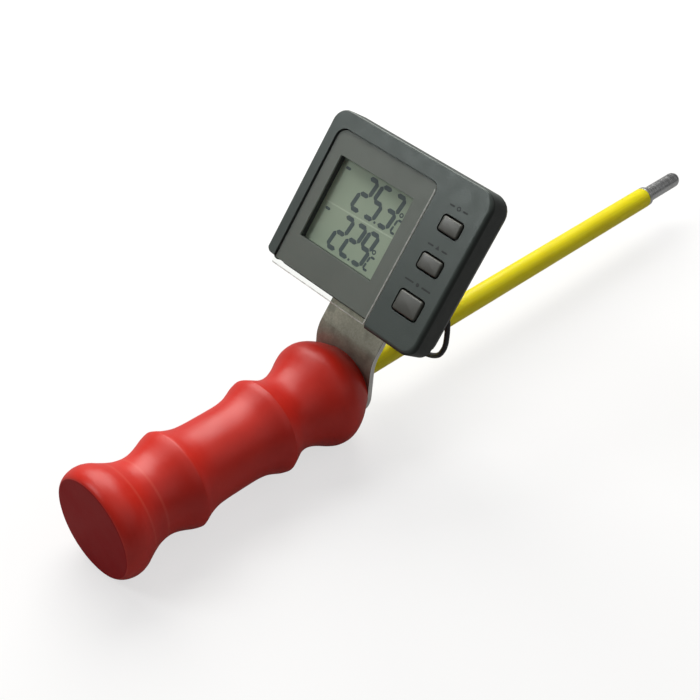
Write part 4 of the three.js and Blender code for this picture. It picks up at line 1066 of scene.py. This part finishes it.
for vert in bm.verts:
    vert.co = bent(vert.co)
bmesh.ops.recalc_face_normals(bm, faces=bm.faces)
bmesh.ops.transform(bm, matrix=WORLD, verts=bm.verts)
bm.to_mesh(blank.data)
bm.free()
smooth(blank.data)
dress(flatten_shading(blank), steel, instead_of=["bracket"])
print("strip:", len(blank.data.polygons), "faces")

# %% [markdown]
# ## Front shell
#
# The shell starts as a block with its own radius at each corner. Its front edge has a small radius on two
# sides and a large one on the right and below. A Bevel modifier can do that in one go, because each edge can
# carry its own share of the width, and the shares are blended round the corners.

# %% Front shell's body
HALF_W = CASE_W / 2
HALF_H = CASE_H / 2
PARTING = 8.5
EDGE_R = 1.2
RIGHT_FILLET = 4.4
LOW_FILLET = 3.5
BLEND_POWER = 24
CORNER_RADII = (0, 4.6, 5.6, 5)


def front_edge_width(point):
    """How wide the front edge's rounding is at a place: small left and above, large right and below."""
    weights = {
        EDGE_R: max(0, point.y / HALF_H) ** BLEND_POWER + max(0, -point.x / HALF_W) ** BLEND_POWER,
        RIGHT_FILLET: max(0, point.x / HALF_W) ** BLEND_POWER,
        LOW_FILLET: max(0, -point.y / HALF_H) ** BLEND_POWER,
    }
    return sum(width * weight for width, weight in weights.items()) / sum(weights.values())


shell_block = block(-HALF_W, HALF_W, -HALF_H, HALF_H, -PARTING, 0, CORNER_RADII, segments=10)
shell = new_object("case_front", shell_block)
bm = bmesh.new()
bm.from_mesh(shell.data)
weight_layer = bm.edges.layers.float.new("bevel_weight_edge")
for e in bm.edges:
    if all(abs(v.co.z) < NEAR for v in e.verts):
        middle = (e.verts[0].co + e.verts[1].co) / 2
        e[weight_layer] = front_edge_width(middle) / RIGHT_FILLET
bm.to_mesh(shell.data)
bm.free()
rounding = shell.modifiers.new("front_edge", "BEVEL")
rounding.limit_method = "WEIGHT"
rounding.width = RIGHT_FILLET
rounding.segments = 6
evaluate(shell)
print("front shell:", len(shell.data.polygons), "faces before cutting")

# %% [markdown]
# Everything else on the shell is a cut. The lower side leans in under the window, so the window's lower edge
# stands free. The cutter for it is itself cut: a slab, less the part of the shell that stays.

# %% Lean of the lower side
LENS_LEFT = 4.1
LENS_BOTTOM = 0.65
LENS_TOP = 5.65
LENS_T = 1.2
KEY_COLUMN_W = 20.2
LOW_SETBACK = 2.65
LOW_SETBACK_PARTING = 0.85
LOW_CORNER_R = 2.4

lens_x0, lens_x1 = -HALF_W + LENS_LEFT, HALF_W - KEY_COLUMN_W
lens_y0, lens_y1 = -HALF_H + LENS_BOTTOM, HALF_H - LENS_TOP
seat = -LENS_T - GAP
lean = (LOW_SETBACK - LOW_SETBACK_PARTING) / (PARTING + seat)
below = -PARTING - OVERRUN
low_cut = new_object("low_cut", block(-HALF_W - OVERRUN, lens_x1 + GAP, -HALF_H - OVERRUN, 0, below, OVERRUN))
keep = block(-HALF_W, HALF_W, -HALF_H + LOW_SETBACK - lean * seat, HALF_H, below - OVERRUN, 2 * OVERRUN,
             (LOW_CORNER_R, 0, 0, 0))
for vert in keep.verts:
    vert.co.y += lean * vert.co.z
carve(low_cut, keep)
cutter = bmesh.new()
cutter.from_mesh(low_cut.data)
bpy.data.objects.remove(low_cut)
carve(shell, cutter)
print("lower side leans", round(math.degrees(math.atan(lean)), 1), "degrees")

# %% Seat of the window and opening for the display
SEAT_CORNERS = (0, 0, 3.0, 3.5)
LCD_LEFT = 4.6
LCD_RIGHT = 5.9
LCD_BOTTOM = 12.3
LCD_TOP = 7.6
LCD_CORNERS = (0.3, 0.3, 0.3, 0.3)

lcd_x0, lcd_x1 = lens_x0 + LCD_LEFT, lens_x1 - LCD_RIGHT
lcd_y0, lcd_y1 = lens_y0 + LCD_BOTTOM, lens_y1 - LCD_TOP
carve(shell, block(lens_x0 - GAP, lens_x1 + GAP, -HALF_H - OVERRUN, lens_y1 + GAP, seat, OVERRUN,
                   SEAT_CORNERS))
carve(shell, block(lcd_x0, lcd_x1, lcd_y0, lcd_y1, below, OVERRUN, LCD_CORNERS, segments=3))
print("display opening:", round(lcd_x1 - lcd_x0, 1), "x", round(lcd_y1 - lcd_y0, 1), "mm")

# %% [markdown]
# Each key has an opening of its own, a little larger than the key all round. A row below holds a key's name,
# width, height and place up the case.

# %% Openings for the keys
KEY_X = HALF_W - 9.75
KEYS = [
    ("key_top", 7.2, 4.7, 0.2312 * CASE_H),
    ("key_middle", 7.8, 4.8, 0),
    ("key_bottom", 9, 6.4, -0.2514 * CASE_H),
]
KEY_CLEAR = 0.55
KEY_CORNER_R = 0.8
KEY_OPENING_DEPTH = 4

for name, w, h, y in KEYS:
    hw, hh, r = w / 2 + KEY_CLEAR, h / 2 + KEY_CLEAR, KEY_CORNER_R + KEY_CLEAR
    carve(shell, block(KEY_X - hw, KEY_X + hw, y - hh, y + hh, -KEY_OPENING_DEPTH, OVERRUN, (r, r, r, r), 6))
print("front shell:", len(shell.data.polygons), "faces with its openings")

# %% [markdown]
# The hollow inside has two ceilings, a deep one behind the window and a high one behind the keys. Four posts
# take the case's screws, and stand clear of the walls, because a post that only grazes a wall would leave
# slivers in the mesh.

# %% Hollow and screw posts
WALL = 1.8
RIGHT_WALL = 2.4
LOW_WALL = 3.9
CEILING_WINDOW = 3.6
CEILING_KEYS = 2.2
WINDOW_WALL = 2.6
ROOM_OVERLAP = 0.5
POST_XS = (-28.9, 25.2)
POST_YS = (-23.1, 23.1)
POST_R = 2.2
POST_HOLE_R = 1.25
POST_TOP = -1.8
POST_HOLE_TOP = -2.8
SHELL_EDGE = 0.1

split_x = lens_x1 + WINDOW_WALL
carve(shell, block(-HALF_W + WALL, split_x, -HALF_H + LOW_WALL, HALF_H - WALL, below, -CEILING_WINDOW))
carve(shell, block(split_x - ROOM_OVERLAP, HALF_W - RIGHT_WALL, -HALF_H + RIGHT_WALL, HALF_H - WALL, below,
                   -CEILING_KEYS))
for x, y in [(x, y) for x in POST_XS for y in POST_YS]:
    carve(shell, rod(x, y, POST_R, -PARTING, POST_TOP), "UNION")
    carve(shell, rod(x, y, POST_HOLE_R, below, POST_HOLE_TOP))
finish_mesh(shell, SHELL_EDGE, DISPLAY, above=seat - SHELL_EDGE)
dress(shell, case_grey, instead_of=["front_shell"])
print("front shell:", len(shell.data.polygons), "faces")

# %% [markdown]
# ## Window and its printed border
#
# The window is a clear plate with a bevelled rim, and the grey border round the display is printed on its
# back. A real plate bends light, so the print looks nearer than it is: its depth looks like the plate's
# thickness divided by the refractive index. The see-through finish doesn't bend light, so the plate is made
# that thin, and the border is a panel of its own between it and the seat. The rim is narrower than the
# radius of the plate's corners, because a wider bevel would fold over there.

# %% Window
RIM = 0.5
PLATE_CORNERS = (0.6, 0.6, 2.7, 3.2)

seen_t = LENS_T / PLATE_INDEX
plate_bm = block(lens_x0, lens_x1, lens_y0, lens_y1, -seen_t, 0, PLATE_CORNERS)


def on_rim(x, y):
    """Whether a place in the window lies along its right or lower edge."""
    return x > lens_x1 - RIM or y < lens_y0 + RIM


upper = [e for e in plate_bm.edges if all(abs(v.co.z) < NEAR for v in e.verts)]
rim = [e for e in upper if on_rim(*((e.verts[0].co + e.verts[1].co) / 2).xy)]
bmesh.ops.bevel(plate_bm, geom=rim, offset=RIM, segments=2, affect="EDGES", profile=0.5, material=-1)
# The right and lower rim faces get the painted highlight.
highlighted_faces = [i for i, f in enumerate(plate_bm.faces)
          if abs(f.normal.z) < 0.99 and on_rim(*f.calc_center_median().xy)]
window = flatten_shading(new_object("window_plate", plate_bm, DISPLAY))
dress(window, clear, instead_of=["window"])
window.data.materials.append(highlighted.material)
for i in highlighted_faces:
    window.data.polygons[i].material_index = 1
print("window:", len(window.data.polygons), "faces,", len(highlighted_faces), "of them frosted")

# %% Border round the display
FILM = 0.01
BORDER_CORNERS = (0.1, 0.1, 2.7, 3.2)
BORDER_EDGE = 0.03

border = new_object("window_border", block(lens_x0, lens_x1, -HALF_H + LOW_SETBACK, lens_y1, seat + FILM,
                                           -seen_t - FILM, BORDER_CORNERS))
carve(border, block(lcd_x0, lcd_x1, lcd_y0, lcd_y1, -LENS_T - OVERRUN, OVERRUN, LCD_CORNERS, segments=3))
finish_mesh(border, BORDER_EDGE, DISPLAY, segments=1)
dress(border, panel)
print("border:", len(border.data.polygons), "faces")

# %% [markdown]
# ## Digits
#
# A seven-segment digit is a set of bars with pointed ends. Each bar starts as one square face, is stretched,
# has its corners bevelled to points, and is turned into place. A digit leans because the ends of its bars
# are shifted sideways as they go up. The whole display is made flat first and then gets its thickness.

# %% Tools for flat shapes
POINT_SHARE = 0.42
SHORTER_SHARE = 0.25


def add_bar(bm, start, end, width, lift):
    """One pointed bar from start to end, in millimetres in the display's frame."""
    along = Vector(end) - Vector(start)
    length = along.length - SHORTER_SHARE * width
    verts = bmesh.ops.create_grid(bm, x_segments=1, y_segments=1, size=0.5)["verts"]
    bmesh.ops.scale(bm, verts=verts, vec=(length, width, 1))
    points = bmesh.ops.bevel(bm, geom=verts, offset=width * POINT_SHARE, segments=1, affect="VERTICES",
                             profile=0.5, material=-1)
    spin = Matrix.Rotation(math.atan2(along.y, along.x), 4, "Z")
    middle = (Vector(start) + Vector(end)) / 2
    bmesh.ops.transform(bm, matrix=Matrix.Translation((*middle, lift)) @ spin, verts=points["verts"])


def raise_flat(bm, height):
    """Gives flat shapes a thickness."""
    lifted = bmesh.ops.extrude_face_region(bm, geom=bm.faces[:])
    top = [item for item in lifted["geom"] if isinstance(item, bmesh.types.BMVert)]
    bmesh.ops.translate(bm, verts=top, vec=(0, 0, height))


def add_ring(bm, x, y, lift, inner, outer, height):
    """A flat ring, spun from its small cross-section."""
    section = [bm.verts.new((x + r, y, z)) for r, z in
               ((inner, lift), (outer, lift), (outer, lift + height), (inner, lift + height))]
    sides = [bm.edges.new(pair) for pair in zip(section, section[1:] + section[:1])]
    bmesh.ops.spin(bm, geom=section + sides, cent=(x, y, 0), axis=(0, 0, 1), angle=2 * math.pi, steps=20,
                   use_merge=True)


# %% Shape of a digit
SLANT = math.tan(math.radians(8))
LIT = {
    "2": "abged", "5": "afgcd", "3": "abgcd", "9": "abcdfg", "C": "afed",
}
BARS = {
    "a": (0, 1, 1, 1), "b": (1, 0.5, 1, 1), "c": (1, 0, 1, 0.5), "d": (0, 0, 1, 0),
    "e": (0, 0, 0, 0.5), "f": (0, 0.5, 0, 1), "g": (0, 0.5, 1, 0.5),
}


def add_digit(bm, digit, x, y, width, height, thick, lift):
    """One digit whose lower left corner is at x, y."""
    for bar in LIT[digit]:
        x0, y0, x1, y1 = BARS[bar]
        start = (x + x0 * width + y0 * height * SLANT, y + y0 * height)
        end = (x + x1 * width + y1 * height * SLANT, y + y1 * height)
        add_bar(bm, start, end, thick, lift)


# %% [markdown]
# A row of the display has its digits, its place and the step from one digit to the next. After the digits
# come a small degree sign and a C, and a dash stands at the far left.

# %% Two rows of digits
ROWS = [("253", -14.2, 1.35, 5.85), ("229", -15.5, -12.75, 5.45)]
SEGMENT_W = 1.5
DIGIT_W = 3.7
DIGIT_H = 10.9
UNIT_W = 1.9
UNIT_H = 4.4
UNIT_SEGMENT_W = 0.75
UNIT_BACK = 0.4
DOT_R = 0.42
DOT_BACK = 1.05
DOT_DROP = 0.15
DEGREE_RADII = (0.35, 0.78)
DEGREE_RIGHT = 0.6
DEGREE_UP = 6.1
DASH_XS = (-22.8, -20.4)
DASH_UP = 9.9
DASH_W = 0.9
INK_T = 0.03

ink_z = -CEILING_WINDOW - GAP + FILM
digits_bm = bmesh.new()
for text, x, y, pitch in ROWS:
    for place, digit in enumerate(text):
        add_digit(digits_bm, digit, x + place * pitch, y, DIGIT_W, DIGIT_H, SEGMENT_W, ink_z)
    add_digit(digits_bm, "C", x + 3 * pitch - UNIT_BACK, y, UNIT_W, UNIT_H, UNIT_SEGMENT_W, ink_z)
    dot = bmesh.ops.create_circle(digits_bm, cap_ends=True, segments=16, radius=DOT_R)
    bmesh.ops.translate(digits_bm, verts=dot["verts"], vec=(x + 2 * pitch - DOT_BACK, y - DOT_DROP, ink_z))
    add_bar(digits_bm, (DASH_XS[0], y + DASH_UP), (DASH_XS[1], y + DASH_UP), DASH_W, ink_z)
raise_flat(digits_bm, INK_T)
for text, x, y, pitch in ROWS:
    add_ring(digits_bm, x + 3 * pitch + DEGREE_RIGHT, y + DEGREE_UP, ink_z, *DEGREE_RADII, INK_T)
bmesh.ops.recalc_face_normals(digits_bm, faces=digits_bm.faces)
digits = dress(new_object("lcd_digits", digits_bm, DISPLAY), ink)
print("digits:", len(digits.data.polygons), "faces")

# %% Divider between the rows
DIVIDER_FROM = (-23.6, -0.9)
DIVIDER_TO = (6.2, 0.1)
DIVIDER_W = 0.5

divider_bm = bmesh.new()
add_bar(divider_bm, DIVIDER_FROM, DIVIDER_TO, DIVIDER_W, ink_z)
raise_flat(divider_bm, INK_T)
divider = dress(new_object("lcd_divider", divider_bm, DISPLAY), light_line)
print("divider:", len(divider.data.polygons), "faces")

# %% [markdown]
# ## Keys
#
# Each key is a small block with round corners and a softly rounded top, on a flange that the shell holds
# down. The flange is hidden, so the key is one block bevelled twice.

# %% Keys
KEY_PROUD = 0.6
KEY_EDGE = 0.5
KEY_BOTTOM_Z = -3.3

for name, w, h, y in KEYS:
    r = KEY_CORNER_R
    cap = block(KEY_X - w / 2, KEY_X + w / 2, y - h / 2, y + h / 2, KEY_BOTTOM_Z, KEY_PROUD, (r, r, r, r), 6)
    top = [e for e in cap.edges if all(abs(v.co.z - KEY_PROUD) < NEAR for v in e.verts)]
    bmesh.ops.bevel(cap, geom=top, offset=KEY_EDGE, segments=4, affect="EDGES", profile=0.5, material=-1)
    dress(new_object(name + "_cap", cap, DISPLAY), key_grey, body=name, instead_of=[name])
print("keys:", [name for name, w, h, y in KEYS])

# %% [markdown]
# The keys' marks are screen printed on the shell: a symbol between two short bars over each key. They are
# flat shapes with hardly any thickness. A row below is a mark's height on the case and how far its bars
# reach.

# %% Marks over the keys
MARK_Z = 0.005
MARK_T = 0.02
MARKS_AT = [(18.4, 3.6), (5.3, 3.9), (-7.1, 5.2)]
SYMBOL_X = KEY_X - 0.4
MARK_BAR_FROM = 1.5
MARK_BAR_W = 0.55
RING_RADII = (0.4, 0.75)
TRIANGLE_R = 0.85
SPOT_RADII = (0.0, 0.6)

marks_bm = bmesh.new()
for y, reach in MARKS_AT:
    for way in (-1, 1):
        near_end, far_end = SYMBOL_X + way * MARK_BAR_FROM, SYMBOL_X + way * reach
        add_bar(marks_bm, (near_end, y), (far_end, y), MARK_BAR_W, MARK_Z)
ring_y, triangle_y, spot_y = [y for y, reach in MARKS_AT]
triangle = bmesh.ops.create_circle(marks_bm, cap_ends=True, segments=3, radius=TRIANGLE_R)
bmesh.ops.translate(marks_bm, verts=triangle["verts"], vec=(SYMBOL_X, triangle_y, MARK_Z))
raise_flat(marks_bm, MARK_T)
add_ring(marks_bm, SYMBOL_X, ring_y, MARK_Z, *RING_RADII, MARK_T)
add_ring(marks_bm, SYMBOL_X, spot_y, MARK_Z, *SPOT_RADII, MARK_T)
bmesh.ops.remove_doubles(marks_bm, verts=marks_bm.verts, dist=NEAR)
bmesh.ops.recalc_face_normals(marks_bm, faces=marks_bm.faces)
marks = dress(new_object("key_marks", marks_bm, DISPLAY), print_ink)
print("marks:", len(marks.data.polygons), "faces")

# %% [markdown]
# ## Rear shell, cover, screws and sleeves
#
# These solids already have every feature of the real pieces, and they are seen from behind. A copy of each
# is enough: its loose triangles are merged into clean faces, and its sharp edges are softened.

# %% Refined copies
SCREWS = [(f"case_screw_{i}", 0.06) for i in (1, 2, 3, 4)]
SCREWS += [(name, 0.08) for name in ("bracket_screw_lower", "bracket_screw_upper", "handle_screw_left",
                                     "handle_screw_right")]
REFINED = [
    ("rear_shell", rear_black, "rear_plastic", 0.15),
    ("battery_cover", rear_black, "rear_plastic", 0.12),
    ("case_sleeve", rubber, "rubber", 0.1),
    ("stem_sleeve", rubber, "rubber", 0.1),
]
REFINED += [(name, bright, "bright_steel", width) for name, width in SCREWS]
for node, finish, slot, width in REFINED:
    owner = node if node in frame["bodies"] else ROOT
    dress(refined(node, node + "_fine", width), finish, body=owner, instead_of=[node])
print("refined:", len(REFINED))

# %% [markdown]
# ## What stays hidden
#
# The pieces inside the case keep their solids, and each gets its own finish, because the part is also
# looked at opened up.

# %% Finishes for the solids that stay
KEPT = {
    "lcd_glass": lcd, "circuit_board": board, "battery_contact": brass, "button_cell": bright,
    "controller_resin": black, "air_sensor": black, "sensor_bead": black,
    "lcd_contact_lower": rubber, "lcd_contact_upper": rubber, "sensor_lead": jacket, "case_lead": jacket,
}
for which in ("top", "middle", "bottom"):
    KEPT["switch_" + which] = black
    KEPT["key_" + which + "_plunger"] = black
for node, finish in KEPT.items():
    solid = frame["nodes"][node]
    for slot in solid.material_slots:
        slot.material = finish.material
cable.data.materials.append(jacket.material)
print("kept solids:", len(KEPT))
